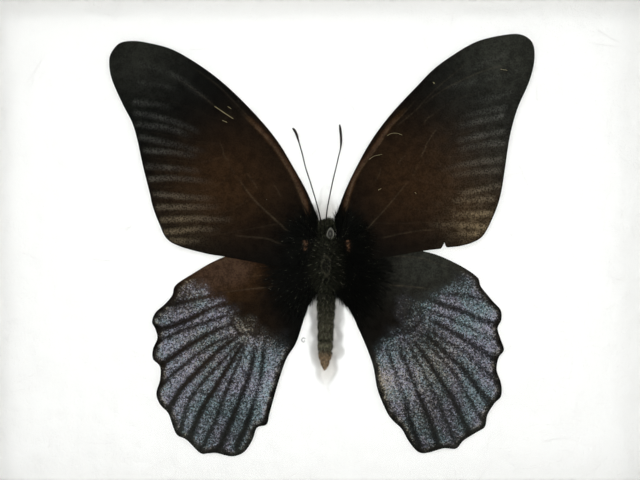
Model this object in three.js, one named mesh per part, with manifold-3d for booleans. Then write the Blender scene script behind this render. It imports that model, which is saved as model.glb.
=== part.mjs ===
// A spread butterfly on a bed of white wadding, in a glazed box frame.
//
// Lengths are in millimetres. Every piece is drawn as the viewer sees it: x to the right, y up
// and z towards the viewer, with x = y = 0 at the middle of the glass and z = 0 at the rear face
// of the moulding. One group then stands the object upright on its bottom rail, facing -Y.
// Left and right are the viewer's.

import * as THREE from 'three';
import { mergeVertices } from 'three/addons/utils/BufferGeometryUtils.js';
import Module from 'manifold-3d';

const wasm = await Module();
wasm.setup();

// Fits

const FIT_GAP = 0.3; // clearance between pieces that lie against each other
const MITRE_GAP = 0.1; // the open line of a mitre

// Glass, spacers, bed and backing, all cut to one size: an eight by six inch pane

const PANE_WIDTH = 203.2;
const PANE_HEIGHT = 152.4;
const PANE_THICKNESS = 2;
const SPACER_WIDTH = 3.2;
const SPACER_THICKNESS = 3;
const BED_THICKNESS = 10;
const BACKING_THICKNESS = 3;

// Moulding

const RAIL_FACE = 18; // width seen from the front
const RAIL_DEPTH = 26; // from the wall to the front
const LIP_COVER = 5.1; // how much of the pane's edge the lip hides
const LIP_THICKNESS = 4;
const RABBET_WIDTH = 5.6;
const OUTER_ROUND = 4; // round on the outer front edge
const REAR_CHAMFER = 0.8;

// Framer's points, the flat steel darts that hold the backing in

const POINT_WIDTH = 6;
const POINT_BURIED = 7;
const POINT_SHOWING = 5;
const POINT_THICKNESS = 0.5;
const POINT_SPREAD = 60; // from the middle of a long rail to each of its points

// Sawtooth hanger

const HANGER_LENGTH = 46;
const HANGER_HEIGHT = 8;
const HANGER_THICKNESS = 0.8;
const HANGER_TEETH = 7;
const TOOTH_PITCH = 3.4;
const TOOTH_DEPTH = 2.4;
const NAIL_SPREAD = 18.5; // from the hanger's middle to each nail
const NAIL_RADIUS = 0.6;
const NAIL_HEAD_RADIUS = 1.7;
const NAIL_HEAD_THICKNESS = 0.7;
const NAIL_LENGTH = 9;

// Butterfly

const WING_THICKNESS = 0.3;
const WING_SEGMENTS = 4; // straight steps from one outline point to the next
const BODY_DEPTH = 15.1; // z of the middle of the body, sunk in the bed
const BODY_FLATNESS = 0.94; // depth of the body over its width
const THORAX_CENTRE = [2.0, -7.0];
const ABDOMEN_TOP = [1.95, -15.3];
const ABDOMEN_LEAN = -0.023; // radians, the tip hangs a little to the left
const HEAD_CENTRE = [1.75, 3.35];
const HEAD_RADII = [2.15, 1.85, 2.1];
const EYE_RADIUS = 1.25;
const LEFT_EYE = [-1.75, -0.75, 0.2]; // from the middle of the head
const RIGHT_EYE = [1.5, -1.1, 1.0];
const SHAFT_RADIUS = 0.25;
const CLUB_RADIUS = 0.4;
const CLUB_LENGTH = 8;
const GROOVE_CENTRE = [1.9, -15];

// Levels, from the front of the frame back

const LIP_BACK = RAIL_DEPTH - LIP_THICKNESS;
const PANE_BACK = LIP_BACK - FIT_GAP - PANE_THICKNESS;
const SPACER_BACK = PANE_BACK - FIT_GAP - SPACER_THICKNESS;
const BED_FRONT = SPACER_BACK - FIT_GAP;
const BED_BACK = BED_FRONT - BED_THICKNESS;
const BACKING_BACK = BED_BACK - FIT_GAP - BACKING_THICKNESS;
const POINT_BACK = BACKING_BACK - FIT_GAP - POINT_THICKNESS;
const HINDWING_BACK = BED_FRONT + FIT_GAP;
const FOREWING_BACK = HINDWING_BACK + WING_THICKNESS + FIT_GAP;
const HANGER_BACK = -FIT_GAP - HANGER_THICKNESS;
const NAIL_BACK = HANGER_BACK - FIT_GAP - NAIL_HEAD_THICKNESS;

// Sizes that follow from the pane

const SIGHT_HALF_WIDTH = PANE_WIDTH / 2 - LIP_COVER;
const SIGHT_HALF_HEIGHT = PANE_HEIGHT / 2 - LIP_COVER;
const OUTER_HALF_HEIGHT = SIGHT_HALF_HEIGHT + RAIL_FACE;

// Outlines of the wings, from the base along the front edge, round the tip and back.
// Each run is one smooth curve, and a corner stands between two runs.

const FOREWING_LEFT_RUNS = [
  [
    [-0.5, 6], [-3.7, 14], [-8.1, 22], [-13, 30], [-19.7, 38], [-27.8, 46], [-35.5, 52],
    [-44, 57], [-51.2, 59], [-56, 59.6], [-60, 58.9], [-62.5, 56], [-63.1, 53], [-62.3, 48],
    [-59, 40.5], [-56.3, 35.3], [-54.7, 30], [-53, 22], [-51, 14], [-50.1, 10], [-48.2, 5],
    [-46, 0.5], [-42, -1.9], [-34, -4.1], [-28.5, -5], [-20, -6.6], [-12, -7.9], [-6, -7.6],
    [-2, -5.5],
  ],
];

const FOREWING_RIGHT_RUNS = [
  [
    [4.4, 6], [7.2, 14], [11, 22], [15.5, 30], [21.5, 38], [29, 46], [35, 52], [44, 58],
    [50, 60.4], [58, 61.7], [62, 60.7], [64, 58], [64.1, 53], [62.5, 47], [59.4, 40],
    [57.3, 33], [56.2, 27], [55.2, 20], [54, 13], [51.9, 7], [49, 1.5], [46, -0.6],
    [42, -1.8], [38.3, -2.2],
  ],
  [[38.3, -2.2], [37.7, -1.9], [37.3, -0.6]],
  [[37.3, -0.6], [36.8, -1.7], [36.2, -2.6]],
  [
    [36.2, -2.6], [30, -3.4], [22, -4.8], [15, -5.9], [10, -5.8], [6, -4.2],
  ],
];

const HINDWING_LEFT_RUNS = [
  [
    [-3, -6], [-10, -3.8], [-18, -3.3], [-24, -3.9], [-28.5, -5], [-33, -7], [-38, -10],
    [-43.3, -13.5], [-44.3, -16.5], [-46.5, -19.2], [-49.3, -21.7], [-50.4, -24.5],
    [-49.4, -26.7], [-48.8, -29.5], [-50.1, -32.7], [-50.1, -35.7], [-48, -38], [-48, -42],
    [-49.1, -46], [-48, -49.3], [-45.5, -52], [-44.1, -56], [-42.8, -58.6], [-40, -60],
    [-36, -63.9], [-33.5, -64], [-31, -63.9], [-26.5, -64.9], [-22.8, -63.6], [-20.3, -60],
    [-18.9, -56.3], [-16, -55.3], [-15, -51.5], [-12.3, -42], [-10, -35.5], [-7, -30.5],
    [-4.3, -22], [-2.8, -18.5], [-0.5, -15.5],
  ],
];

const HINDWING_RIGHT_RUNS = [
  [
    [6.5, -6], [12, -3.2], [20, -2.2], [26, -2.4], [32, -3.6], [36.5, -5], [43, -8.2],
    [47.3, -11.3], [48.3, -14], [51.8, -18.3], [54.2, -21], [54.4, -24], [53.3, -26.5],
    [54.3, -30], [55.2, -33], [53.6, -35.3], [53, -39], [54.3, -43], [54.3, -46.8],
    [52.3, -49], [50.2, -52.5], [49.5, -56], [47, -57.7], [43, -60.2], [40.8, -62.6],
    [37, -62.5], [32.5, -63.8], [29.5, -63.6], [26.7, -60.5], [24.5, -56.7], [21.8, -54.1],
    [20, -51.5], [17.3, -45], [16, -38], [14, -32.3], [11.3, -26], [9, -21], [7.2, -18.8],
    [4.5, -15.5],
  ],
];

// Antennae, from the head to the tip of the club

const ANTENNA_LEFT = [
  [0.6, 4.0, 16.6], [0.1, 6.5, 17.2], [-0.9, 10.6, 17.3], [-2.9, 17.3, 17.2],
  [-4.3, 21.6, 17.0], [-5.3, 25.7, 16.9], [-6.4, 29.6, 16.8], [-7.2, 32.1, 16.8],
  [-8.2, 33.6, 16.8],
];

const ANTENNA_RIGHT = [
  [1.7, 4.0, 16.6], [1.9, 7.0, 17.2], [2.4, 10.6, 17.3], [3.8, 17.5, 17.2],
  [4.7, 21.2, 17.0], [5.6, 25.1, 16.9], [6.2, 27.8, 16.8], [6.3, 31.0, 16.8],
  [5.9, 34.6, 16.8],
];

// Half sections of the turned shapes: radius, then height along the body

const THORAX_SECTION = [
  [0, -8], [2.3, -7.7], [3.4, -6.2], [4.0, -3.4], [4.25, 0], [4.05, 3.2], [3.3, 6],
  [2, 7.6], [0, 8],
];

const ABDOMEN_SECTION = [
  [0, -24.1], [0.85, -22.8], [1.65, -20.7], [2.15, -18.4], [2.35, -15.6], [2.45, -12],
  [2.6, -8], [2.8, -3.8], [2.6, -1], [0, 0],
];

const GROOVE_SECTION = [
  [0, -33], [0.9, -29], [2.4, -25.2], [3.3, -19], [3.5, -8], [3.9, -2], [4.9, 3.5],
  [4.9, 11], [4.3, 17.5], [3, 21.5], [1.2, 25], [0, 30],
];

const SEGMENT_COUNT = 8; // rings of the abdomen
const SEGMENT_RELIEF = 0.05; // share of the radius that the grooves between rings take

// Finishes

const FINISHES = {
  wood: { color: 0x3a261a, roughness: 0.45, metalness: 0 },
  glass: { color: 0xf4f8f6, roughness: 0.03, metalness: 0, transparent: true, opacity: 0.3 },
  card: { color: 0xf4f3ee, roughness: 0.9, metalness: 0 },
  cotton: { color: 0xfdfdfb, roughness: 1, metalness: 0 },
  hardboard: { color: 0x7a5637, roughness: 0.8, metalness: 0 },
  steel: { color: 0x9a9c9e, roughness: 0.35, metalness: 1 },
  brass: { color: 0xb08d4c, roughness: 0.35, metalness: 1 },
  wing: { color: 0x1d1a18, roughness: 0.8, metalness: 0 },
  body: { color: 0x14120f, roughness: 0.9, metalness: 0 },
  antenna: { color: 0x17120e, roughness: 0.6, metalness: 0 },
};

function piece(name, finish, geometry) {
  const mesh = new THREE.Mesh(geometry, new THREE.MeshStandardMaterial(FINISHES[finish]));
  mesh.name = name;
  return mesh;
}

// Joining and cutting

function closedMesh(geometry) {
  const bare = geometry.clone();
  bare.deleteAttribute('normal');
  bare.deleteAttribute('uv');
  const merged = mergeVertices(bare, 1e-4);
  const kept = [];
  const index = merged.index.array;
  for (let i = 0; i < index.length; i += 3) {
    const [a, b, c] = [index[i], index[i + 1], index[i + 2]];
    if (a !== b && b !== c && c !== a) kept.push(a, b, c);
  }
  merged.setIndex(kept);
  return merged;
}

function toSolid(geometry) {
  const merged = closedMesh(geometry);
  return new wasm.Manifold(new wasm.Mesh({
    numProp: 3,
    vertProperties: new Float32Array(merged.attributes.position.array),
    triVerts: new Uint32Array(merged.index.array),
  }));
}

function toGeometry(solid) {
  const mesh = solid.getMesh();
  const geometry = new THREE.BufferGeometry();
  geometry.setAttribute('position', new THREE.BufferAttribute(mesh.vertProperties, 3));
  geometry.setIndex(Array.from(mesh.triVerts));
  geometry.computeVertexNormals();
  return geometry;
}

function cut(geometry, cutters) {
  let solid = toSolid(geometry);
  for (const cutter of cutters) solid = solid.subtract(toSolid(cutter));
  return toGeometry(solid);
}

function join(geometries) {
  const [first, ...rest] = geometries.map(toSolid);
  return toGeometry(rest.reduce((sum, solid) => sum.add(solid), first));
}

// Basic shapes

function slab(width, height, thickness, back) {
  return new THREE.BoxGeometry(width, height, thickness).translate(0, 0, back + thickness / 2);
}

function turned(section, steps, sides, grow = 0) {
  const curve = new THREE.SplineCurve(section.map(([r, y]) => new THREE.Vector2(r, y)));
  const points = curve.getPoints(steps);
  points.forEach((point, i) => {
    point.x = i === 0 || i === steps ? 0 : Math.max(point.x, 0.05) + grow;
  });
  points[0].y -= grow;
  points[steps].y += grow;
  return new THREE.LatheGeometry(points, sides).scale(1, 1, BODY_FLATNESS);
}

// Moulding

function railSection() {
  const front = RAIL_DEPTH;
  const section = new THREE.Shape();
  section.moveTo(RABBET_WIDTH, 0);
  section.lineTo(RAIL_FACE - REAR_CHAMFER, 0);
  section.lineTo(RAIL_FACE, REAR_CHAMFER);
  section.lineTo(RAIL_FACE, front - OUTER_ROUND);
  section.absarc(RAIL_FACE - OUTER_ROUND, front - OUTER_ROUND, OUTER_ROUND, 0, Math.PI / 2);
  section.lineTo(7, front);
  section.lineTo(6.4, front - 1); // the step beside the sloping inner edge
  section.lineTo(5.6, front - 1.1);
  section.quadraticCurveTo(2.4, front - 1.3, 0.7, front - 2.9);
  section.lineTo(0, front - 3.1);
  section.lineTo(0, LIP_BACK);
  section.lineTo(RABBET_WIDTH, LIP_BACK);
  section.closePath();
  return section;
}

// A rail lies along x with its outer edge up. Each end slopes at 45 degrees, so its reach
// grows with the distance from the sight edge.
function railBlank(halfLength, halfAcross) {
  const blank = new THREE.ExtrudeGeometry(railSection(), {
    depth: 1,
    bevelEnabled: false,
    curveSegments: 6,
  });
  const places = blank.attributes.position;
  for (let i = 0; i < places.count; i += 1) {
    const fromSight = places.getX(i);
    const level = places.getY(i);
    const end = places.getZ(i) > 0.5 ? 1 : -1;
    const reach = halfLength + fromSight - MITRE_GAP / 2;
    places.setXYZ(i, end * reach, halfAcross + fromSight, level);
  }
  return blank;
}

function pointSlot(along, halfAcross) {
  const width = POINT_WIDTH + 2 * FIT_GAP;
  const height = POINT_BURIED + FIT_GAP + 1;
  const slot = slab(width, height, POINT_THICKNESS + 2 * FIT_GAP, POINT_BACK - FIT_GAP);
  return slot.translate(along, halfAcross + RABBET_WIDTH + height / 2 - 1, 0);
}

function framersPoint(name, along, halfAcross) {
  const half = POINT_WIDTH / 2;
  const outline = new THREE.Shape([
    new THREE.Vector2(-half + 0.8, -POINT_SHOWING),
    new THREE.Vector2(half - 0.8, -POINT_SHOWING),
    new THREE.Vector2(half, -POINT_SHOWING + 0.8),
    new THREE.Vector2(half, POINT_BURIED / 2),
    new THREE.Vector2(0, POINT_BURIED),
    new THREE.Vector2(-half, POINT_BURIED / 2),
    new THREE.Vector2(-half, -POINT_SHOWING + 0.8),
  ]);
  const plate = new THREE.ExtrudeGeometry(outline, {
    depth: POINT_THICKNESS,
    bevelEnabled: false,
  });
  const point = piece(name, 'steel', plate);
  point.position.set(along, halfAcross + RABBET_WIDTH, POINT_BACK);
  return point;
}

// Hanger and its nails, on the middle of the top rail's rear face

function hangerPlate() {
  const half = HANGER_LENGTH / 2;
  const low = -HANGER_HEIGHT / 2;
  const high = HANGER_HEIGHT / 2;
  const corner = 1.2;
  const outline = new THREE.Shape();
  outline.moveTo(-half, low + corner);
  outline.lineTo(-half + corner, low);
  const start = -HANGER_TEETH * TOOTH_PITCH / 2;
  for (let tooth = 0; tooth < HANGER_TEETH; tooth += 1) {
    const left = start + tooth * TOOTH_PITCH;
    outline.lineTo(left, low);
    outline.lineTo(left + TOOTH_PITCH / 2, low + TOOTH_DEPTH);
  }
  outline.lineTo(-start, low);
  outline.lineTo(half - corner, low);
  outline.lineTo(half, low + corner);
  outline.lineTo(half, high - corner);
  outline.lineTo(half - corner, high);
  outline.lineTo(-half + corner, high);
  outline.lineTo(-half, high - corner);
  outline.closePath();
  for (const side of [-1, 1]) {
    const hole = new THREE.Path();
    hole.absarc(side * NAIL_SPREAD, 0, NAIL_RADIUS + FIT_GAP, 0, 2 * Math.PI);
    outline.holes.push(hole);
  }
  return new THREE.ExtrudeGeometry(outline, {
    depth: HANGER_THICKNESS,
    bevelEnabled: false,
    curveSegments: 6,
  });
}

function nailShape() {
  const domed = NAIL_HEAD_THICKNESS * 0.45;
  const profile = [
    [0, 0], [NAIL_HEAD_RADIUS * 0.7, 0.12], [NAIL_HEAD_RADIUS, domed],
    [NAIL_HEAD_RADIUS, NAIL_HEAD_THICKNESS], [NAIL_RADIUS, NAIL_HEAD_THICKNESS],
    [NAIL_RADIUS, NAIL_LENGTH - 1.5], [0, NAIL_LENGTH],
  ];
  const points = profile.map(([r, y]) => new THREE.Vector2(r, y));
  return new THREE.LatheGeometry(points, 12).rotateX(Math.PI / 2);
}

function nailBore(along, level) {
  const depth = NAIL_LENGTH + 2 * FIT_GAP;
  const bore = new THREE.CylinderGeometry(NAIL_RADIUS + FIT_GAP, NAIL_RADIUS + FIT_GAP, depth, 12);
  bore.rotateX(Math.PI / 2);
  return bore.translate(along, level, NAIL_BACK + NAIL_HEAD_THICKNESS + depth / 2);
}

// The four sides of the frame. Each is drawn as a top rail and then turned to its place.

const SIDES = [
  {
    side: 'top',
    turn: 0,
    halfLength: SIGHT_HALF_WIDTH,
    halfAcross: SIGHT_HALF_HEIGHT,
    points: { point_top_left: -POINT_SPREAD, point_top_right: POINT_SPREAD },
  },
  {
    side: 'bottom',
    turn: Math.PI,
    halfLength: SIGHT_HALF_WIDTH,
    halfAcross: SIGHT_HALF_HEIGHT,
    points: { point_bottom_left: POINT_SPREAD, point_bottom_right: -POINT_SPREAD },
  },
  {
    side: 'left',
    turn: Math.PI / 2,
    halfLength: SIGHT_HALF_HEIGHT,
    halfAcross: SIGHT_HALF_WIDTH,
    points: { point_side_left: 0 },
  },
  {
    side: 'right',
    turn: -Math.PI / 2,
    halfLength: SIGHT_HALF_HEIGHT,
    halfAcross: SIGHT_HALF_WIDTH,
    points: { point_side_right: 0 },
  },
];

function frameSide({ side, turn, halfLength, halfAcross, points }) {
  const group = new THREE.Group();
  group.rotation.z = turn;
  const hangerLevel = halfAcross + (RABBET_WIDTH + RAIL_FACE) / 2;
  const cutters = Object.values(points).map((along) => pointSlot(along, halfAcross));
  if (side === 'top') {
    cutters.push(nailBore(-NAIL_SPREAD, hangerLevel), nailBore(NAIL_SPREAD, hangerLevel));
    const hanger = piece('sawtooth_hanger', 'brass', hangerPlate());
    hanger.position.set(0, hangerLevel, HANGER_BACK);
    group.add(hanger);
    for (const [name, along] of [['nail_left', -NAIL_SPREAD], ['nail_right', NAIL_SPREAD]]) {
      const nail = piece(name, 'steel', nailShape());
      nail.position.set(along, hangerLevel, NAIL_BACK);
      group.add(nail);
    }
  }
  group.add(piece(`rail_${side}`, 'wood', cut(railBlank(halfLength, halfAcross), cutters)));
  for (const [name, along] of Object.entries(points)) {
    group.add(framersPoint(name, along, halfAcross));
  }
  return group;
}

// Card spacers: the long ones run the whole width, the short ones stand between them

function spacers() {
  const level = PANE_HEIGHT / 2 - SPACER_WIDTH / 2;
  const shortLength = PANE_HEIGHT - 2 * (SPACER_WIDTH + FIT_GAP);
  const long = slab(PANE_WIDTH, SPACER_WIDTH, SPACER_THICKNESS, SPACER_BACK);
  const short = slab(SPACER_WIDTH, shortLength, SPACER_THICKNESS, SPACER_BACK);
  const across = PANE_WIDTH / 2 - SPACER_WIDTH / 2;
  return [
    piece('spacer_top', 'card', long.clone().translate(0, level, 0)),
    piece('spacer_bottom', 'card', long.clone().translate(0, -level, 0)),
    piece('spacer_left', 'card', short.clone().translate(-across, 0, 0)),
    piece('spacer_right', 'card', short.clone().translate(across, 0, 0)),
  ];
}

function bed() {
  const [x, y] = GROOVE_CENTRE;
  const groove = turned(GROOVE_SECTION, 22, 24).translate(x, y, BODY_DEPTH);
  return piece('cotton_bed', 'cotton', cut(
    slab(PANE_WIDTH, PANE_HEIGHT, BED_THICKNESS, BED_BACK),
    [groove],
  ));
}

// Body

function thoraxShape(grow = 0) {
  const [x, y] = THORAX_CENTRE;
  return turned(THORAX_SECTION, 16, 22, grow).translate(x, y, BODY_DEPTH);
}

function headShape(grow = 0) {
  const [x, y] = HEAD_CENTRE;
  const [across, along, deep] = HEAD_RADII;
  const skull = new THREE.SphereGeometry(1, 18, 12);
  skull.scale(across + grow, along + grow, deep + grow);
  const eyes = [LEFT_EYE, RIGHT_EYE].map(([ex, ey, ez]) => (
    new THREE.SphereGeometry(EYE_RADIUS + grow, 16, 10).translate(ex, ey, ez)
  ));
  return join([skull, ...eyes]).translate(x, y, BODY_DEPTH);
}

function abdomenShape() {
  const length = -ABDOMEN_SECTION[0][1];
  const shape = turned(ABDOMEN_SECTION, 48, 20);
  const places = shape.attributes.position;
  for (let i = 0; i < places.count; i += 1) {
    const along = -places.getY(i) / length;
    const ring = Math.abs(Math.sin(Math.PI * SEGMENT_COUNT * along));
    const swell = 1 + SEGMENT_RELIEF * (ring - 1);
    places.setX(i, places.getX(i) * swell);
    places.setZ(i, places.getZ(i) * swell);
  }
  const [x, y] = ABDOMEN_TOP;
  return shape.rotateZ(ABDOMEN_LEAN).translate(x, y, BODY_DEPTH);
}

// Wings are cut back to clear the thorax and head that carry them

function wing(name, runs, back) {
  const outline = new THREE.Shape();
  outline.moveTo(...runs[0][0]);
  for (const run of runs) {
    outline.splineThru(run.slice(1).map(([x, y]) => new THREE.Vector2(x, y)));
  }
  outline.closePath();
  const plate = new THREE.ExtrudeGeometry(outline, {
    depth: WING_THICKNESS,
    bevelEnabled: false,
    curveSegments: WING_SEGMENTS,
  });
  plate.translate(0, 0, back);
  return piece(name, 'wing', cut(plate, [thoraxShape(FIT_GAP), headShape(FIT_GAP)]));
}

function antenna(name, route) {
  const path = new THREE.CatmullRomCurve3(route.map((point) => new THREE.Vector3(...point)));
  const section = new THREE.Shape();
  section.absarc(0, 0, SHAFT_RADIUS, 0, 2 * Math.PI);
  const shaft = new THREE.ExtrudeGeometry(section, {
    steps: 28,
    curveSegments: 4,
    extrudePath: path,
  });
  const middle = 1 - CLUB_LENGTH / 2 / path.getLength();
  const club = new THREE.SphereGeometry(1, 8, 10);
  club.scale(CLUB_RADIUS, CLUB_LENGTH / 2, CLUB_RADIUS);
  const lean = new THREE.Quaternion();
  lean.setFromUnitVectors(new THREE.Vector3(0, 1, 0), path.getTangentAt(middle));
  club.applyQuaternion(lean);
  club.translate(...path.getPointAt(middle).toArray());
  return piece(name, 'antenna', cut(join([shaft, club]), [headShape(FIT_GAP)]));
}

function butterfly() {
  return [
    piece('head', 'body', headShape()),
    piece('thorax', 'body', thoraxShape()),
    piece('abdomen', 'body', abdomenShape()),
    wing('forewing_left', FOREWING_LEFT_RUNS, FOREWING_BACK),
    wing('forewing_right', FOREWING_RIGHT_RUNS, FOREWING_BACK),
    wing('hindwing_left', HINDWING_LEFT_RUNS, HINDWING_BACK),
    wing('hindwing_right', HINDWING_RIGHT_RUNS, HINDWING_BACK),
    antenna('antenna_left', ANTENNA_LEFT),
    antenna('antenna_right', ANTENNA_RIGHT),
  ];
}

// The whole object, stood upright: the viewer's y becomes Z and the viewer's z becomes -Y,
// with the origin under the middle of the outside box.

const framedSpecimen = new THREE.Group();
framedSpecimen.rotation.x = Math.PI / 2;
framedSpecimen.position.set(0, (RAIL_DEPTH + NAIL_BACK) / 2, OUTER_HALF_HEIGHT);

for (const side of SIDES) framedSpecimen.add(frameSide(side));
framedSpecimen.add(
  piece('glass_pane', 'glass', slab(PANE_WIDTH, PANE_HEIGHT, PANE_THICKNESS, PANE_BACK)),
  ...spacers(),
  bed(),
  piece('backing_board', 'hardboard', slab(
    PANE_WIDTH,
    PANE_HEIGHT,
    BACKING_THICKNESS,
    BACKING_BACK,
  )),
  ...butterfly(),
);

export default framedSpecimen;
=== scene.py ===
"""Framed butterfly specimen: a dark swallowtail on cotton wadding, in a glazed box frame of dark wood."""

import math

import bmesh
import bpy
import numpy as np
from bpy.props import FloatProperty, FloatVectorProperty, IntProperty, PointerProperty
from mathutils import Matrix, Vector


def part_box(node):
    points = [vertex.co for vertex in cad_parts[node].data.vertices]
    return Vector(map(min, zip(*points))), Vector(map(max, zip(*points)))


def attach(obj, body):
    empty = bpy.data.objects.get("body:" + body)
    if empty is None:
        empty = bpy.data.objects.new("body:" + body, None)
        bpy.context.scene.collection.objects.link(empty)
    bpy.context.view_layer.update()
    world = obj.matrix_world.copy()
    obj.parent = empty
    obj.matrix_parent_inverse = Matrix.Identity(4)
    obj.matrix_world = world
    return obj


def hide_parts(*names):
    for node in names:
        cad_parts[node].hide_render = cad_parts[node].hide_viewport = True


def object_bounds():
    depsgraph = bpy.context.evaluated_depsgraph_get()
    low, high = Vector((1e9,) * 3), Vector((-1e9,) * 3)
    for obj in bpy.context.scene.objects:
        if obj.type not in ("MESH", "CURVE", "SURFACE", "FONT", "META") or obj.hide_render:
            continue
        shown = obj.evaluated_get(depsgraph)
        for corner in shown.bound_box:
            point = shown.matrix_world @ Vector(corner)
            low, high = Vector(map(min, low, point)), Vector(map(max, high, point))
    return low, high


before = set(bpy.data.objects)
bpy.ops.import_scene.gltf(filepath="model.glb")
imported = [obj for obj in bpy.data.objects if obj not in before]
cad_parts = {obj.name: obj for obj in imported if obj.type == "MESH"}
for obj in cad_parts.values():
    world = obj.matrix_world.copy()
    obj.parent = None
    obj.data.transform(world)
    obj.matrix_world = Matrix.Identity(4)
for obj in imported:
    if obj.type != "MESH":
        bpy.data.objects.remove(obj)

CAD_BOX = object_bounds()

bl_info = {
    "name": "Framed butterfly specimen",
    "version": (1, 0, 0),
    "blender": (4, 5, 0),
    "location": "3D View > Sidebar > Specimen",
    "description": "A dark swallowtail on cotton wadding, in a glazed box frame",
    "category": "Add Mesh",
}

# Places on the butterfly are in millimetres across and up from the middle of the pane.
# Levels are in metres along Y, and the viewer is at lower Y.

MM = 0.001
PANE_LOW, PANE_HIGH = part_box("glass_pane")
PANE_MIDDLE = (PANE_LOW + PANE_HIGH) / 2
PANE_WIDTH = round((PANE_HIGH.x - PANE_LOW.x) / MM, 1)
PANE_HEIGHT = round((PANE_HIGH.z - PANE_LOW.z) / MM, 1)
BED_LOW, BED_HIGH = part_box("cotton_bed")
ABDOMEN_LOW, ABDOMEN_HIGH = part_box("abdomen")
THORAX_LOW, THORAX_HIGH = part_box("thorax")
BODY_LEVEL = (THORAX_LOW.y + THORAX_HIGH.y) / 2

# Hindwings: dark lines between the bands of pale dust, from the base to the margin.
# The heavy ones lie on the veins, the fine ones on the folds between them.

HEAVY_LINE = (0.9, 1.8)  # width at the base and at the margin
FINE_LINE = (0.7, 1.15)

HINDWING_LEFT_HEAVY = (
    ((-25.7, -18.5), (-33.1, -20.6), (-39.6, -24), (-48.3, -27), (-51, -28)),
    ((-27.8, -25.7), (-33.1, -28), (-38.7, -31.2), (-44.4, -35.2), (-50, -39)),
    ((-23.9, -28.3), (-30.9, -33.6), (-36.6, -39.2), (-41.4, -44.5), (-45.6, -51)),
    ((-22.6, -30.1), (-27, -37.1), (-30.9, -43.6), (-35.3, -50.6), (-39.3, -59.5)),
    ((-19.4, -31.8), (-20.9, -39.2), (-23.9, -47.5), (-27, -54.9), (-30.4, -63)),
    ((-16.8, -31), (-17.5, -39.3), (-19.4, -47.5), (-22, -55), (-25, -62)),
)
HINDWING_LEFT_FINE = (
    ((-26, -15.8), (-34.8, -17.2), (-45.3, -19.6)),
    ((-27, -22.4), (-33.9, -24.6), (-40.9, -27), (-49.2, -30.6)),
    ((-25.7, -28.5), (-32.2, -31.2), (-37.4, -34.8), (-43.1, -39.4), (-47.5, -43.4)),
    ((-23.9, -30.1), (-29.6, -36.6), (-35.7, -43.2), (-39.6, -49.3), (-42, -57)),
    ((-21.7, -30.1), (-25.7, -39.5), (-29.2, -48), (-31.8, -55.2), (-35.8, -63)),
    ((-13, -40.5), (-13.7, -44), (-15.2, -50.1), (-16.9, -54.6)),
)
HINDWING_RIGHT_HEAVY = (
    ((30.3, -16.8), (35.5, -18.9), (41.6, -21), (48.1, -23.7), (54.5, -25.8)),
    ((32.9, -23.9), (39.4, -27.3), (46, -31.4), (54, -37.2)),
    ((31.1, -27.9), (37.7, -33.8), (43.8, -39.6), (48.1, -45.5), (52, -50)),
    ((28.1, -30.1), (32.9, -37.1), (37.5, -44), (41.5, -51), (44.8, -58.6)),
    ((23.7, -31.8), (27, -40), (30.6, -49), (33.9, -56.7), (35.4, -62)),
    ((20.3, -33.3), (22.9, -40.8), (25.3, -47.9), (27, -54.3), (30, -62)),
)
HINDWING_RIGHT_FINE = (
    ((33.7, -15.9), (40.7, -16.3), (47.7, -17.4), (51.5, -19)),
    ((31.1, -20.6), (38.1, -23.2), (45.1, -26.4), (54, -30.4)),
    ((32, -26.6), (38.5, -30.7), (45.1, -35.2), (53, -42.7)),
    ((29.4, -28.3), (35.9, -34.9), (41.2, -41.2), (45.1, -48.4), (49.2, -54.6)),
    ((25.9, -30.1), (30.9, -39.2), (35, -47.5), (38.1, -54.9), (40.8, -61)),
    ((18.8, -42.3), (19.7, -47), (22.9, -54.2)),
)

# Where the dust begins, as a run round the base

HINDWING_LEFT_DUST_FRONT = (
    (-37, -9), (-30, -14), (-24, -18), (-19.5, -22.5), (-15, -24.5), (-9, -27), (-6, -31),
)
HINDWING_RIGHT_DUST_FRONT = ((40, -9), (33, -14), (26, -16.5), (22, -22), (18.5, -26), (15, -31), (15.5, -42))

# Forewings: thin bands of pale dust across the outer half, in pairs between the veins

FOREWING_LEFT_BANDS = (
    ((-53.5, 52.8), (-43.5, 49.2), (-37.3, 44.5), (-31.9, 40.9)),
    ((-54.5, 46.9), (-48, 46.5), (-42.2, 44.9)),
    ((-55.5, 41.3), (-51.2, 40.9), (-43.5, 39.6)),
    ((-55, 38.1), (-46.7, 36.4), (-39.1, 33.7), (-35.5, 31.5)),
    ((-54.6, 34.7), (-45.8, 33.5), (-37.3, 30.6)),
    ((-53.6, 30.8), (-44.4, 28.8), (-32.8, 26.1)),
    ((-52.2, 26.9), (-43.1, 26.1), (-35.5, 24.8)),
    ((-51.6, 22.1), (-42.6, 21.4), (-34.6, 20.5)),
    ((-51, 18.2), (-42.6, 18.5), (-30.1, 17.1)),
    ((-49.4, 13.8), (-40.4, 12.9), (-30.1, 12.2)),
    ((-48.5, 9.8), (-39.1, 9.9), (-29.2, 9.9)),
    ((-47.2, 6.1), (-38.2, 6.4), (-29.2, 6.1), (-25.6, 5.9)),
    ((-46.3, 2.3), (-37.3, 3.2), (-29.2, 3.2)),
    ((-44.5, -0.1), (-40.4, -0.4), (-34.6, -0.1)),
)
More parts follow.
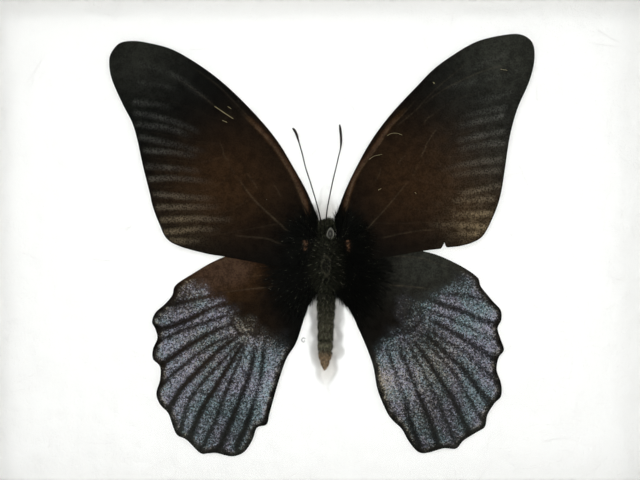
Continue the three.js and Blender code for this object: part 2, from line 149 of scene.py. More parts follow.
FOREWING_RIGHT_BANDS = (
    ((56, 56), (49.8, 53.2), (44.8, 50.5)),
    ((58.5, 50.8), (51.6, 48.7), (42.6, 46.5), (37.7, 45.6)),
    ((57, 44.2), (52.9, 42.9), (43.9, 41.1)),
    ((55.4, 39.8), (50.7, 38.8), (41.7, 36.6)),
    ((54.4, 37.1), (45.3, 35), (40.4, 33.5)),
    ((54.6, 32.5), (44.8, 30.5), (40.4, 29.4)),
    ((54.6, 29.1), (48.4, 28.5), (39.5, 26.5)),
    ((54.2, 24.1), (44.8, 22.9), (35.4, 20.9)),
    ((53.2, 20.8), (46.6, 20.2), (36.8, 19.1)),
    ((53.6, 16.3), (44.8, 14.4), (40.4, 14.2)),
    ((51.8, 12.4), (44, 12), (38, 11.5)),
    ((50.8, 7.9), (44.8, 7.7), (38.1, 7.4)),
    ((49.8, 3.9), (41.7, 4.5), (30.5, 4.5)),
    ((47, 1.8), (40.4, 2.1)),
)

# Veins of the forewings: how pale each is, which is a painted glint along the raised vein, and its course

FOREWING_LEFT_VEINS = (
    (0.55, ((-3.6, 3.5), (-4.6, 9), (-6.6, 15), (-9.6, 21.2), (-14.4, 28.6), (-19, 33.4), (-30.5, 45))),
    (0.3, ((-20, 35.2), (-24.6, 40.2), (-31, 46.6), (-40, 53))),
    (0.3, ((-26, 36.6), (-31.5, 40.2), (-35.5, 43.4), (-39.6, 46.4), (-44, 49))),
    (0.06, ((-25.6, 39.6), (-29.5, 36), (-38, 39.2), (-46, 42), (-57, 44.2))),
    (0.1, ((-30.1, 28.8), (-36, 29.3), (-45, 31.2), (-54.6, 32.8))),
    (0.1, ((-28.7, 25), (-36, 23.2), (-44, 23.9), (-53, 24.6))),
    (0.1, ((-25.6, 19.8), (-34, 15), (-42, 15.8), (-50.8, 15.9))),
    (0.1, ((-20.2, 12.6), (-29, 8.2), (-38, 8.2), (-48.7, 8))),
    (0.12, ((-12.2, 5), (-22, 3), (-34, 1.4), (-45, 1))),
    (0.6, ((-7.2, 0.5), (-12.2, 5), (-16.6, 9), (-20.2, 12.6), (-22.9, 16.2), (-25.4, 19.8))),
    (0.2, ((-25.4, 19.8), (-27.8, 23.3))),
    (0.35, ((-27.4, 23.8), (-28.7, 25.2), (-29.2, 27.4), (-30.2, 29.8))),
    (0.45, ((-9, -2), (-12, -1.1), (-16, 0.4), (-22, 1), (-27, 1.6))),
    (0.3, ((-18.8, 15.4), (-20.4, 18), (-22.4, 20.6))),
    (0.25, ((-11.6, 12.8), (-12.8, 15), (-14.2, 17))),
)
FOREWING_RIGHT_VEINS = (
    (0.55, ((7.4, 4.5), (7.8, 9), (9, 14.6), (11, 19.4), (18, 29), (20.6, 33.4), (25, 37.8), (31.6, 45.6))),
    (0.3, ((23, 34.2), (28.6, 38.8), (33, 43.6), (38.6, 48.6), (46, 54.6))),
    (0.3, ((31.4, 41), (36, 44.4), (42, 47.6), (50, 51), (60, 53.4))),
    (0.1, ((34, 38), (40, 41.6), (46, 43.8), (59, 47))),
    (0.1, ((35.9, 34.3), (40, 31.6), (46, 32.8), (55.8, 34.6))),
    (0.1, ((32.3, 29), (38, 25), (46, 25.8), (55, 26.8))),
    (0.1, ((27.4, 18.7), (36, 16.6), (44, 17.4), (54, 18.4))),
    (0.1, ((22.4, 12.4), (31, 8.6), (42, 9.8), (52.4, 10.2))),
    (0.12, ((15.3, 5.2), (25, 5), (38, 5.6), (50, 5.2))),
    (0.5, ((10.6, -0.8), (13, 1.9), (15.6, 5), (18.6, 8.2), (22.4, 12.6), (25.1, 16), (27.6, 18.9))),
    (0.2, ((27.6, 18.9), (30.4, 24.2))),
    (0.5, ((30.3, 24.8), (31.4, 27.4), (32.4, 29.6), (34, 32), (35.6, 34))),
    (0.4, ((31.2, 35.2), (32.4, 36.6), (34.4, 37.8))),
    (0.35, ((18.6, 0.6), (25, 2), (30, 2.8), (36, 3.1))),
    (0.3, ((23.4, 22.9), (24.4, 24.3), (26, 25.6))),
    (0.25, ((16.6, 17.6), (17.8, 19.8), (18.2, 22))),
)

# The paler strip along the front edge of each forewing

FOREWING_LEFT_STRIP = ((-2.9, 6), (-5.4, 13.6), (-8.8, 20.6), (-13.4, 27.6), (-18.4, 33.4), (-24, 39))
FOREWING_RIGHT_STRIP = ((7.2, 8), (9, 15), (12, 21.6), (16.4, 27.8), (20.8, 34), (27.6, 41.4))
STRIP_WIDTH = 1.4

# Painted glints along the hindwings' upper veins: pale streaks where the raised veins catch the light

HINDWING_LEFT_VEIN_GLINTS = (
    (0.5, ((-12, -13.9), (-22, -14.8), (-30, -15.9))),
    (0.25, ((-9, -11.4), (-16, -10.6), (-24, -11.2))),
    (0.35, ((-14, -4.6), (-24, -4.9), (-33, -7.6), (-38.6, -11))),
)
HINDWING_RIGHT_VEIN_GLINTS = (
    (0.45, ((21, -13.5), (26, -13.9), (35, -14.9))),
    (0.3, ((20, -4.8), (30, -5.4), (40, -8.8))),
)

# Soft patches: across, up, radius, strength

# Brown: faded scales, and in part a painted reflection in the glass, on the forewings and the left hindwing's
# upper part
FOREWING_LEFT_BROWN = ((-25, 21, 14, 0.7), (-38, 14, 13, 0.5), (-24, 6, 12, 0.25), (-9, 16, 8, 0.2))
FOREWING_RIGHT_BROWN = ((24, 22, 15, 0.6), (42, 22, 14, 0.5), (44, 8, 13, 0.5), (24, 10, 12, 0.3))
HINDWING_LEFT_BROWN = ((-24, -8, 9, 1.6), (-34, -9, 8, 1.6), (-34, -36, 16, 0.4), (-18, -26, 6, 0.2))
HINDWING_RIGHT_BROWN = ((28, -7, 9, 0.15), (40, -9, 8, 0.3), (34, -34, 20, 0.2))
# Grey: a painted reflection, the grey-green veil that the glass lays over the forewings' tips and the right
# hindwing's upper part; the same colour also lightens the ground near the hindwings' lower margins
FOREWING_LEFT_GREY = ((-60, 55, 13, 0.45), (-47, 57, 12, 0.3), (-55, 42, 13, 0.05))
FOREWING_RIGHT_GREY = (
    (61, 58, 13, 0.75), (49, 57, 12, 0.5), (56, 42, 13, 0.3), (53, 24, 11, 0.3), (40, 46, 9, 0.2),
)
HINDWING_LEFT_GREY = ((-44, -52, 10, 0.3), (-36, -60, 10, 0.4), (-22, -61, 6, 0.4))
HINDWING_RIGHT_GREY = (
    (30, -8, 11, 0.9), (40, -9, 7, 0.4), (46, -52, 10, 0.3), (38, -60, 10, 0.3), (16, -38, 6, 0.4),
)
FOREWING_LEFT_RUST = ((-3.9, -0.8, 0.75, 0.9), (-4, -2.4, 0.7, 0.8))
FOREWING_RIGHT_RUST = ((8, -0.6, 0.7, 0.8), (8, -2, 0.75, 0.9), (8.2, -3.3, 0.6, 0.4))

# How strong the dust is: across, up, radius, and what is added there

HINDWING_LEFT_DUST = (
    (-15, -46, 6, 0.2), (-28, -56, 12, -0.2), (-31, -31, 9, -0.1), (-44, -16, 7, -0.3),
    (-12, -28, 5, -0.3),
)
HINDWING_RIGHT_DUST = (
    (20, -44, 7, 0.12), (48, -26, 9, 0.08), (44, -36, 9, -0.1), (36, -54, 11, -0.26), (30, -28, 8, -0.28),
    (42, -13, 6, -0.25),
)
FOREWING_LEFT_DUST = ((-48, 16, 15, 0.3), (-42, 4, 10, 2.0), (-50, 51, 9, -0.7))
# The strong pool at the right forewing's lower outer corner is in part a painted reflection
FOREWING_RIGHT_DUST = ((50, 24, 15, 0.5), (54, 40, 10, 0.1), (48, 5, 10, 2.6), (54, 52, 10, -0.7))

# Where the dark lines of the hindwings are dusted over, and where a forewing is hazy between
# its bands

HINDWING_LEFT_FAINT = ((-14, -46, 7, 0.75),)
HINDWING_RIGHT_FAINT = ((20, -45, 8, 0.75), (50, -30, 12, 0.3))
FOREWING_LEFT_HAZE = ((-40, 3, 9, 0.02), (-52, 30, 16, 0.002))
# At the right forewing's lower outer corner this haze is in part a painted reflection
FOREWING_RIGHT_HAZE = ((47, 4, 9, 0.08), (52, 26, 16, 0.02))

# Where the dust is warmer

HINDWING_LEFT_WARM = ((-22, -25, 5, 0.8), (-14, -28, 4, 0.5), (-44, -14, 8, 0.5), (-34, -33, 10, 0.3))
HINDWING_RIGHT_WARM = ((17.5, -43, 5, 0.7), (34, -36, 9, 0.5), (26, -20, 6, 0.3), (30, -52, 8, 0.3))

# Dusted patches beside the middle of the hindwings: across, up, half width, half height,
# strength, and how dark an outline each has

HINDWING_LEFT_CELLS = ((-21.8, -24.8, 3.8, 2.7, 0.42, 0.6),)
HINDWING_RIGHT_CELLS = ((26, -20.4, 3.9, 5.2, 0.42, 0.5),)

WINGS = {
    "forewing_left": {
        "root": (-1, -1),
        "bands": FOREWING_LEFT_BANDS,
        "veins": FOREWING_LEFT_VEINS,
        "strip": FOREWING_LEFT_STRIP,
        "haze": FOREWING_LEFT_HAZE,
        "warm": ((-42, 2, 18, 0.9),),
        "brown": FOREWING_LEFT_BROWN,
        "grey": FOREWING_LEFT_GREY,
        "rust": FOREWING_LEFT_RUST,
        "pools": FOREWING_LEFT_DUST,
        "furred": 13,
        "seed": 11,
    },
    "forewing_right": {
        "root": (5, -1),
        "bands": FOREWING_RIGHT_BANDS,
        "veins": FOREWING_RIGHT_VEINS,
        "strip": FOREWING_RIGHT_STRIP,
        "haze": FOREWING_RIGHT_HAZE,
        # The warm, dense bloom at this wing's lower outer corner is in part a painted reflection
        "warm": ((46, 4, 20, 1.0),),
        "brown": FOREWING_RIGHT_BROWN,
        "grey": FOREWING_RIGHT_GREY,
        "rust": FOREWING_RIGHT_RUST,
        "pools": FOREWING_RIGHT_DUST,
        "furred": 13,
        "seed": 12,
    },
    "hindwing_left": {
        "root": (-1, -9),
        "heavy": HINDWING_LEFT_HEAVY,
        "fine": HINDWING_LEFT_FINE,
        "front": HINDWING_LEFT_DUST_FRONT,
        "veins": HINDWING_LEFT_VEIN_GLINTS,
        "cells": HINDWING_LEFT_CELLS,
        "lines": (0.86, 0.7),
        "faint": HINDWING_LEFT_FAINT,
        "warm": HINDWING_LEFT_WARM,
        "brown": HINDWING_LEFT_BROWN,
        "grey": HINDWING_LEFT_GREY,
        "rust": (),
        "pools": HINDWING_LEFT_DUST,
        "furred": 21,
        "seed": 13,
    },
    "hindwing_right": {
        "root": (5, -9),
        "heavy": HINDWING_RIGHT_HEAVY,
        "fine": HINDWING_RIGHT_FINE,
        "front": HINDWING_RIGHT_DUST_FRONT,
        "veins": HINDWING_RIGHT_VEIN_GLINTS,
        "cells": HINDWING_RIGHT_CELLS,
        "lines": (0.74, 0.52),
        "faint": HINDWING_RIGHT_FAINT,
        "warm": HINDWING_RIGHT_WARM,
        "brown": HINDWING_RIGHT_BROWN,
        "grey": HINDWING_RIGHT_GREY,
        "rust": (),
        "pools": HINDWING_RIGHT_DUST,
        "furred": 21,
        "seed": 14,
    },
}

# Body: middles are across and up, and the shield plate is the oval at the thorax's back edge

HEAD_MIDDLE = (1.75, 3.35)
THORAX_MIDDLE = (2.0, -7.0)
SHIELD_MIDDLE = (1.8, -7.6)
SHIELD_RADII = (1.45, 2.9)
SHIELD_BARE_RADII = (1.7, 3.1)  # fur is thin this far out
ABDOMEN_TOP_ACROSS = 1.95
ABDOMEN_DRIFT = 0.55  # how far the tip hangs to the left of the top
ABDOMEN_RINGS = 8
PALE_RING_UP = -31.6
DARK_JOINT_UP = -30.1
EYES = ((-1.75, -0.75, 0.2), (1.5, -1.1, 1.0))  # across, up and forward from the middle of the head
# The fur over the left eye stands in for the shade that darkens it
EYE_HAIRS = (0.9, 0.0)  # how much of each eye the fur hides
EYE_RADIUS = 1.25
EYE_SHIFT = np.array([-0.15, -0.3, -0.4])  # a dried eye sags into a tall oval
EYE_STRETCH = np.array([0.95, 1.0, 1.48])
ANTENNAE = {
    # across, up, and millimetres in front of the bed
    "antenna_left": (
        (0.6, 4.0, 0.5), (0.1, 6.5, 1.1), (-0.9, 10.6, 1.2), (-2.9, 17.3, 1.1), (-4.3, 21.6, 0.9),
        (-5.3, 25.7, 0.8), (-6.4, 29.6, 0.7), (-7.2, 32.1, 0.7), (-8.2, 33.6, 0.7),
    ),
    "antenna_right": (
        (1.7, 4.0, 0.5), (1.9, 7.0, 1.1), (2.4, 10.6, 1.2), (3.8, 17.5, 1.1), (4.7, 21.2, 0.9),
        (5.6, 25.1, 0.8), (6.2, 27.8, 0.7), (6.3, 31.0, 0.7), (5.9, 34.6, 0.7),
    ),
}

# Groove in the cotton: up from the middle of the pane, and how far the hollow reaches each side

GROOVE_ACROSS = 1.9
FINE_REACH = 11  # the mesh is three times as fine this far each side of the groove
FINE_UPS = (-52, 22)  # and between these heights
GROOVE_HALF_WIDTHS = (
    (-50, 0), (-47, 0.6), (-44, 1.6), (-40, 3.4), (-34, 5.3), (-23, 5.9), (-17, 6.2), (-11, 7), (-4, 7),
    (3, 6.4), (7, 5), (12, 3.2), (18, 0),
)
GROOVE_DEPTHS = (
    (-50, 0), (-47, 0.3), (-44, 0.8), (-40, 2.6), (-34, 4.2), (-23, 4.4), (-11, 5.2), (-4, 5.2), (3, 4.2),
    (7, 3.2), (12, 1.2), (18, 0),
)

# Loose fibres and specks that lie on the wings: radius, and the route across and up

FIBRES = (
    (0.08, ((-31.5, 40), (-28.6, 38), (-26, 36.3))),
    (0.06, ((-27.6, 39.9), (-26.6, 39.3))),
    (0.06, ((-29.2, 35.8), (-27.8, 35.2))),
    (0.045, ((20, 31.2), (21.4, 31.9), (23.2, 31.9), (24.6, 31.4))),
    (0.045, ((14.7, 24.1), (16.2, 25.1), (18.5, 25.6))),
    (0.05, ((54, 51.1), (56, 50.8))),
    (0.1, ((33.8, 47.2), (34.3, 46.8))),
    (0.05, ((17.4, 14.9), (18.3, 15.4))),
    (0.05, ((28.4, 14.3), (28.8, 13.8))),
)
DARK_HAIR = ((-4.4, -29.6), (-5.1, -29.4), (-5.5, -30.1), (-5, -30.7), (-4.6, -30.2))


def linear(code):
    """The linear colour of an sRGB hex code."""
    channels = [int(code[i:i + 2], 16) / 255 for i in (0, 2, 4)]
    return tuple(c / 12.92 if c <= 0.04045 else ((c + 0.055) / 1.055) ** 2.4 for c in channels)


def colour(name, description, code):
    """A colour property with its default as a hex code."""
    return FloatVectorProperty(
        name=name, description=description, subtype="COLOR", size=3, min=0, max=1, default=linear(code)
    )


def length(name, description, default):
    """A length property, its default in millimetres."""
    return FloatProperty(name=name, description=description, unit="LENGTH", default=default * MM)


class WingSettings(bpy.types.PropertyGroup):
    """Sizes and colours of the wings."""
    cell: length("Cell", "Side of the squares that the wing's sheet is made of", 0.3)
    thickness: length("Thickness", "Membrane with its scales", 0.12)
    vein_height: length("Vein height", "How far a vein stands out of the sheet", 0.12)
    lift: length("Lift", "How far the sheet waves towards the glass", 0.3)
    hairs: IntProperty(name="Hairs", description="Hairs at the base of each wing", default=4200)
    black: colour("Black", "Ground scales", "060706")
    # Brown and worn are faded scales, and in part a painted reflection in the glass
    brown: colour("Brown", "Faded ground scales", "291b0e")
    worn: colour("Worn", "Ground scales that have faded most", "38291e")
    # Grey: a painted reflection of the glass on the forewings' tips and the right hindwing's upper part
    grey: colour("Grey", "Worn scales near the margin", "272823")
    rust: colour("Rust", "Spots at the base of the forewings", "8a674e")
    # Vein: the veins' pale colour is a painted glint
    vein: colour("Vein", "Bare veins", "5c5140")
    bloom: colour("Bloom", "Pale scales in the bands of the forewings", "999b94")
    # Warm bloom: at the right forewing's lower outer corner it is in part a painted reflection
    bloom_warm: colour("Warm bloom", "The same near the outer lower corner", "a38f6e")
    dust_teal: colour("Teal dust", "Pale scales, greener ones", "738e93")
    dust_violet: colour("Violet dust", "Pale scales, bluer ones", "8f899c")
    dust_warm: colour("Warm dust", "Pale scales, yellower ones", "938977")


class BodySettings(bpy.types.PropertyGroup):
    """Sizes and colours of the body."""
    thorax_hairs: IntProperty(name="Thorax hairs", description="Hairs on the thorax", default=7000)
    abdomen_hairs: IntProperty(name="Abdomen hairs", description="Hairs on the abdomen", default=4200)
    head_hairs: IntProperty(name="Head hairs", description="Hairs on the head", default=3600)
    hair_radius: length("Hair radius", "Radius of a hair at its root, drawn coarse enough to show", 0.05)
    black: colour("Black", "Skin of the thorax and head", "090a07")
    olive: colour("Olive", "Tips of the hairs", "2c2d22")
    # Glint: the colour of the painted glints at the ends of a few hairs
    glint: colour("Glint", "The few pale hairs", "7f7e6c")
    buff: colour("Buff", "Scales on the abdomen", "625f4d")
    tip: colour("Tip", "Brown end of the abdomen", "6c5b47")
    eye: colour("Eye", "Dried eye", "191916")
    # Rim: a painted highlight round the eye
    rim: colour("Rim", "Pale rim of an eye", "908f84")
    horn: colour("Horn", "Antennae", "2a211a")


class BedSettings(bpy.types.PropertyGroup):
    """Sizes and colours of the cotton bed."""
    cell: length("Cell", "Side of the squares that the bed's face is made of", 1.1)
    lumps: length("Lumps", "Height of the soft lumps", 0.3)
    fibres: IntProperty(name="Fibres", description="Loose fibres on the face", default=1400)
    white: colour("White", "Bleached cotton", "fdfdfc")
    stray: colour("Stray", "Stray fibres on the wings", "9d9270")
    # Shade: painted shade for the hollow that the body lies in, not dust; the loose fibres also take it as
    # their darker tone
    shade: colour("Shade", "Cotton under dust from the body", "e0deda")


class CaseSettings(bpy.types.PropertyGroup):
    """The softened edges of the wood, and the colours of the frame, glass, card and metal."""
    edge: length("Edge", "Width of the softened edges of the wood", 0.3)
    stain_dark: colour("Dark stain", "Wood in the grain's dark lines", "1c110a")
    stain_light: colour("Light stain", "Wood between the grain's lines", "47301d")
    glass: colour("Glass", "Faint green tint of float glass", "fdfefd")
    card: colour("Card", "White card", "e9e7df")
    board: colour("Board", "Pressed brown fibre", "7b5636")
    zinc: colour("Zinc", "Zinc-plated steel", "b3b6b8")
    brass: colour("Brass", "Brass plate", "c19a52")


class StageSettings(bpy.types.PropertyGroup):
    """The studio."""
    distance: length("Distance", "From the specimen to the camera", 350)
    view_width: length("View width", "What the picture takes in at the specimen", 192)
    floor: colour("Floor", "Pale floor", "e6e6e4")
    front: FloatProperty(name="Front", description="Power of the front lamp in watts", default=1.28)
    key: FloatProperty(name="Key", description="Power of the key lamp in watts", default=1.9)
    fill: FloatProperty(name="Fill", description="Power of the side fill in watts", default=0.8)
    back: FloatProperty(name="Back", description="Power of the lamp behind the frame in watts", default=9.0)
    room: FloatProperty(name="Room", description="Strength of the room's light", default=0.32)
    backdrop: FloatProperty(name="Backdrop", description="How pale the room looks", default=0.4)


def add_node(tree, kind, inputs=None, **settings):
    """Adds a node with its settings, and gives its inputs values or links."""
    made = tree.nodes.new(kind)
    for name, value in settings.items():
        setattr(made, name, value)
    for socket, value in (inputs or {}).items():
        if isinstance(value, bpy.types.NodeSocket):
            tree.links.new(value, made.inputs[socket])
        else:
            made.inputs[socket].default_value = value
    return made


def new_tree(name):
    """A new material and its empty node tree."""
    material = bpy.data.materials.new(name)
    material.use_nodes = True
    material.node_tree.nodes.clear()
    return material, material.node_tree


def mixed(tree, factor, first, second, blend="MIX"):
    """The colour between two others."""
    parts = {0: factor, 6: first, 7: second}
    for socket in (6, 7):
        if not isinstance(parts[socket], bpy.types.NodeSocket):
            parts[socket] = (*parts[socket], 1.0)
    return add_node(tree, "ShaderNodeMix", parts, data_type="RGBA", blend_type=blend).outputs[2]


def worked(tree, operation, *values, clamp=False):
    """The result of one Math node."""
    return add_node(
        tree, "ShaderNodeMath", dict(enumerate(values)), operation=operation, use_clamp=clamp
    ).outputs[0]


def ranged(tree, value, low, high, to_low=0.0, to_high=1.0):
    """A value taken smoothly from one range to another."""
    inputs = {"Value": value, "From Min": low, "From Max": high, "To Min": to_low, "To Max": to_high}
    return add_node(tree, "ShaderNodeMapRange", inputs, interpolation_type="SMOOTHSTEP").outputs[0]


def scaled(tree, base, level):
    """A colour made lighter or darker by a number."""
    grey = add_node(tree, "ShaderNodeCombineColor")
    for socket in grey.inputs[:3]:
        tree.links.new(level, socket)
    return mixed(tree, 1.0, base, grey.outputs[0], blend="MULTIPLY")


def attribute(tree, name):
    """A number stored on the mesh."""
    return add_node(tree, "ShaderNodeAttribute", attribute_name=name).outputs["Fac"]


def object_places(tree, scale=(1, 1, 1)):
    """Object coordinates, stretched where the scale is less than 1."""
    source = add_node(tree, "ShaderNodeTexCoord").outputs["Object"]
    return add_node(tree, "ShaderNodeMapping", {"Vector": source, "Scale": scale}).outputs[0]


def noise(tree, places, size, detail=3.0, roughness=0.5, distortion=0.0):
    """Noise whose grains have a real size in millimetres."""
    inputs = {
        "Vector": places,
        "Scale": 1 / (size * MM),
        "Detail": detail,
        "Roughness": roughness,
        "Distortion": distortion,
    }
    return add_node(tree, "ShaderNodeTexNoise", inputs).outputs["Fac"]


def bumped(tree, height, distance, strength=1.0):
    """A normal from a height, in millimetres from its lowest to its highest."""
    inputs = {"Height": height, "Distance": distance * MM, "Strength": strength}
    return add_node(tree, "ShaderNodeBump", inputs).outputs[0]


def finished(tree, base, normal=None, roughness=0.6, **constants):
    """The Principled shader and the output. Constants go straight on the shader's sockets."""
    inputs = {"Base Color": base if isinstance(base, bpy.types.NodeSocket) else (*base, 1.0)}
    inputs["Roughness"] = roughness
    if normal is not None:
        inputs["Normal"] = normal
    for name, value in constants.items():
        inputs[name.replace("_", " ")] = value
    shader = add_node(tree, "ShaderNodeBsdfPrincipled", inputs)
    add_node(tree, "ShaderNodeOutputMaterial", {"Surface": shader.outputs[0]})
    return shader


def wing_scales(settings):
    """Butterfly scales on a thin membrane: matt near-black, with pale grains where the dust lies."""
    material, tree = new_tree("wing_scales")
    places = object_places(tree)
    cloud = noise(tree, places, 2.2, detail=5, roughness=0.6)
    grit = noise(tree, places, 0.45, detail=2, roughness=0.6)
    mottle = mixed(tree, 0.5, cloud, grit)
    ground = mixed(tree, attribute(tree, "brown"), settings.black, settings.brown)
    ground = mixed(tree, ranged(tree, attribute(tree, "brown"), 1.0, 2.0), ground, settings.worn)
    ground = mixed(tree, attribute(tree, "grey"), ground, settings.grey)
    # Painted glints along the veins
    ground = mixed(tree, worked(tree, "MULTIPLY", attribute(tree, "vein"), 0.7), ground, settings.vein)
    ground = mixed(tree, attribute(tree, "rust"), ground, settings.rust)
    ground = scaled(tree, ground, ranged(tree, mottle, 0.36, 0.64, 0.6, 1.45))
    haze = worked(tree, "MULTIPLY", attribute(tree, "bloom"), ranged(tree, grit, 0.35, 0.65, 0.3, 1.6))
    pale = mixed(tree, attribute(tree, "warm"), settings.bloom, settings.bloom_warm)
    ground = mixed(tree, haze, ground, pale)
    # Scales are a tenth of a millimetre, and the grains here are clumps of them
    cell = {"Vector": places, "Scale": 1 / (0.36 * MM)}
    clump = add_node(tree, "ShaderNodeTexVoronoi", cell, feature="F1").outputs["Color"]
    clump = add_node(tree, "ShaderNodeSeparateColor", {"Color": clump}).outputs
    uneven = ranged(tree, noise(tree, places, 0.6, detail=2, roughness=0.65), 0.3, 0.7)
    grain = mixed(tree, 0.3, clump[0], uneven)
    amount = attribute(tree, "dust")
    thick = ranged(tree, worked(tree, "ADD", grain, amount), 0.88, 1.38, 0.14, 1.0)
    cover = worked(tree, "MULTIPLY", amount, thick)
    drift = ranged(tree, noise(tree, places, 7), 0.38, 0.62)
    dust = mixed(tree, mixed(tree, 0.5, clump[1], drift), settings.dust_teal, settings.dust_violet)
    yellow = ranged(tree, clump[2], 0.0, 1.0, -0.25, 0.3)
    warm = worked(tree, "ADD", attribute(tree, "warm"), yellow, clamp=True)
    dust = mixed(tree, warm, dust, settings.dust_warm)
    glitter = worked(tree, "FRACT", worked(tree, "MULTIPLY", clump[0], 7.0))
    dust = scaled(tree, dust, ranged(tree, glitter, 0.0, 1.0, 0.45, 1.5))
    base = mixed(tree, cover, ground, dust)
    fine = noise(tree, places, 0.25, detail=2)
    normal = bumped(tree, worked(tree, "ADD", fine, cover), 0.02, 0.6)
    finished(tree, base, normal, roughness=0.75, Specular_IOR_Level=0.05)
    return material


def fur(name, root, end, pale, **tints):
    """Hair and hair-like scales: matt, dark at the root, and a few with a pale end: a painted glint."""
    material, tree = new_tree(name)
    along = attribute(tree, "along")
    base = mixed(tree, along, root, end)
    for mark, tint in tints.items():
        base = mixed(tree, attribute(tree, mark), base, tint)
    tone = attribute(tree, "tone")
    base = scaled(tree, base, ranged(tree, tone, 0.0, 1.0, 0.15, 1.95))
    # A tone of 2 puts a painted glint on a hair's end; the crown's hairs take the same pale end
    shine = worked(tree, "MULTIPLY", ranged(tree, tone, 1.0, 2.0), ranged(tree, along, 0.35, 0.65))
    base = mixed(tree, shine, base, pale)
    finished(tree, base, roughness=0.6, Specular_IOR_Level=0.08)
    return material


def body_skin(settings):
    """Dried skin under close scales: near-black, going buff then brown down the abdomen."""
    material, tree = new_tree("body_skin")
    places = object_places(tree)
    ground = mixed(tree, attribute(tree, "buff"), settings.black, settings.buff)
    ground = mixed(tree, attribute(tree, "tip"), ground, settings.tip)
    speck = ranged(tree, noise(tree, places, 0.45, detail=3, roughness=0.7), 0.5, 0.64)
    base = mixed(tree, worked(tree, "MULTIPLY", speck, 0.2), ground, settings.buff)
    crease = noise(tree, places, 0.35, detail=4)
    finished(tree, base, bumped(tree, crease, 0.08, 0.7), roughness=0.6, Specular_IOR_Level=0.12)
    return material


def dried_eye(settings):
    """A dried compound eye: dull grey with a painted highlight at its rim, and facets too fine to count."""
    material, tree = new_tree("dried_eye")
    places = object_places(tree)
    facets = add_node(
        tree, "ShaderNodeTexVoronoi", {"Vector": places, "Scale": 1 / (0.16 * MM)}, feature="F1"
    ).outputs["Distance"]
    base = mixed(tree, attribute(tree, "rim"), settings.eye, settings.rim)
    finished(tree, base, bumped(tree, facets, 0.03, 0.6), roughness=0.45, Specular_IOR_Level=0.25)
    return material


def antenna_horn(settings):
    """Thin dark horn, faintly mottled, with a soft shine. The rings are in the mesh."""
    material, tree = new_tree("antenna_horn")
    grain = noise(tree, object_places(tree), 0.5)
    base = mixed(tree, ranged(tree, grain, 0.35, 0.65), settings.horn, settings.black)
    finished(tree, base, bumped(tree, grain, 0.02), roughness=0.45, Specular_IOR_Level=0.4)
    return material


def cotton_wadding(settings):
    """Bleached cotton in a loose web: matt white, soft at the edges, with fibres that cross."""
    material, tree = new_tree("cotton_wadding")
    places = object_places(tree)
    web = noise(tree, places, 1.6, detail=7, roughness=0.7, distortion=1.6)
    lump = noise(tree, places, 9, detail=3)
    # The hollow beside the body gets painted shade, strongest where it is deep
    base = mixed(tree, attribute(tree, "painted_shade"), settings.white, settings.shade)
    height = worked(tree, "ADD", web, worked(tree, "MULTIPLY", lump, 1.5))
    finished(
        tree, base, bumped(tree, height, 0.5, 0.55), roughness=1.0, Specular_IOR_Level=0.1,
        Sheen_Weight=0.25, Sheen_Roughness=0.6,
    )
    return material


def cotton_fibre(name, light, dark):
    """Single cotton fibres, matt, and a little uneven along their length."""
    material, tree = new_tree(name)
    grain = noise(tree, object_places(tree), 3)
    base = mixed(tree, ranged(tree, grain, 0.3, 0.7), light, dark)
    finished(tree, base, roughness=0.7, Specular_IOR_Level=0.2)
    return material


def picture_glass(settings):
    """Clear float glass: bends light at 1.52 and mirrors it at its face."""
    # Shadow rays and diffuse ones pass through
    material, tree = new_tree("picture_glass")
    clear = {
        "Base Color": (*settings.glass, 1.0), "Roughness": 0.0, "IOR": 1.52, "Transmission Weight": 1.0,
    }
    solid = add_node(tree, "ShaderNodeBsdfPrincipled", clear).outputs[0]
    open_air = add_node(tree, "ShaderNodeBsdfTransparent").outputs[0]
    path = add_node(tree, "ShaderNodeLightPath")
    soft = worked(tree, "MAXIMUM", path.outputs["Is Shadow Ray"], path.outputs["Is Diffuse Ray"])
    shader = add_node(tree, "ShaderNodeMixShader", {0: soft, 1: solid, 2: open_air}).outputs[0]
    add_node(tree, "ShaderNodeOutputMaterial", {"Surface": shader})
    return material


def white_card(settings):
    """Matt white card with a faint felt of fibres."""
    material, tree = new_tree("white_card")
    felt = noise(tree, object_places(tree), 0.8, detail=6, roughness=0.7)
    shade = tuple(c * 0.88 for c in settings.card)
    base = mixed(tree, ranged(tree, felt, 0.3, 0.7), shade, settings.card)
    finished(tree, base, bumped(tree, felt, 0.04), roughness=0.9, Specular_IOR_Level=0.2)
    return material


def hardboard(settings):
    """Pressed brown fibre board with the print of its wire screen on the back."""
    material, tree = new_tree("hardboard")
    places = object_places(tree)
    chip = noise(tree, places, 1.5, detail=6, roughness=0.65)
    dark = tuple(c * 0.72 for c in settings.board)
    pale = tuple(min(1, c * 1.4) for c in settings.board)
    base = mixed(tree, ranged(tree, chip, 0.3, 0.7), dark, settings.board)
    straw = ranged(tree, noise(tree, object_places(tree, (1, 1, 0.25)), 0.7, detail=3), 0.62, 0.72)
    base = mixed(tree, worked(tree, "MULTIPLY", straw, 0.6), base, pale)
    # The screen's wires stand 1.6 mm apart
    wires = [
        add_node(
            tree, "ShaderNodeTexWave", {"Vector": places, "Scale": 1 / (1.6 * MM * 20) * math.pi * 2},
            wave_type="BANDS", bands_direction=way,
        ).outputs["Fac"]
        for way in ("X", "Z")
    ]
    height = worked(tree, "ADD", worked(tree, "MINIMUM", *wires), chip)
    finished(tree, base, bumped(tree, height, 0.15), roughness=0.82, Specular_IOR_Level=0.25)
    return material


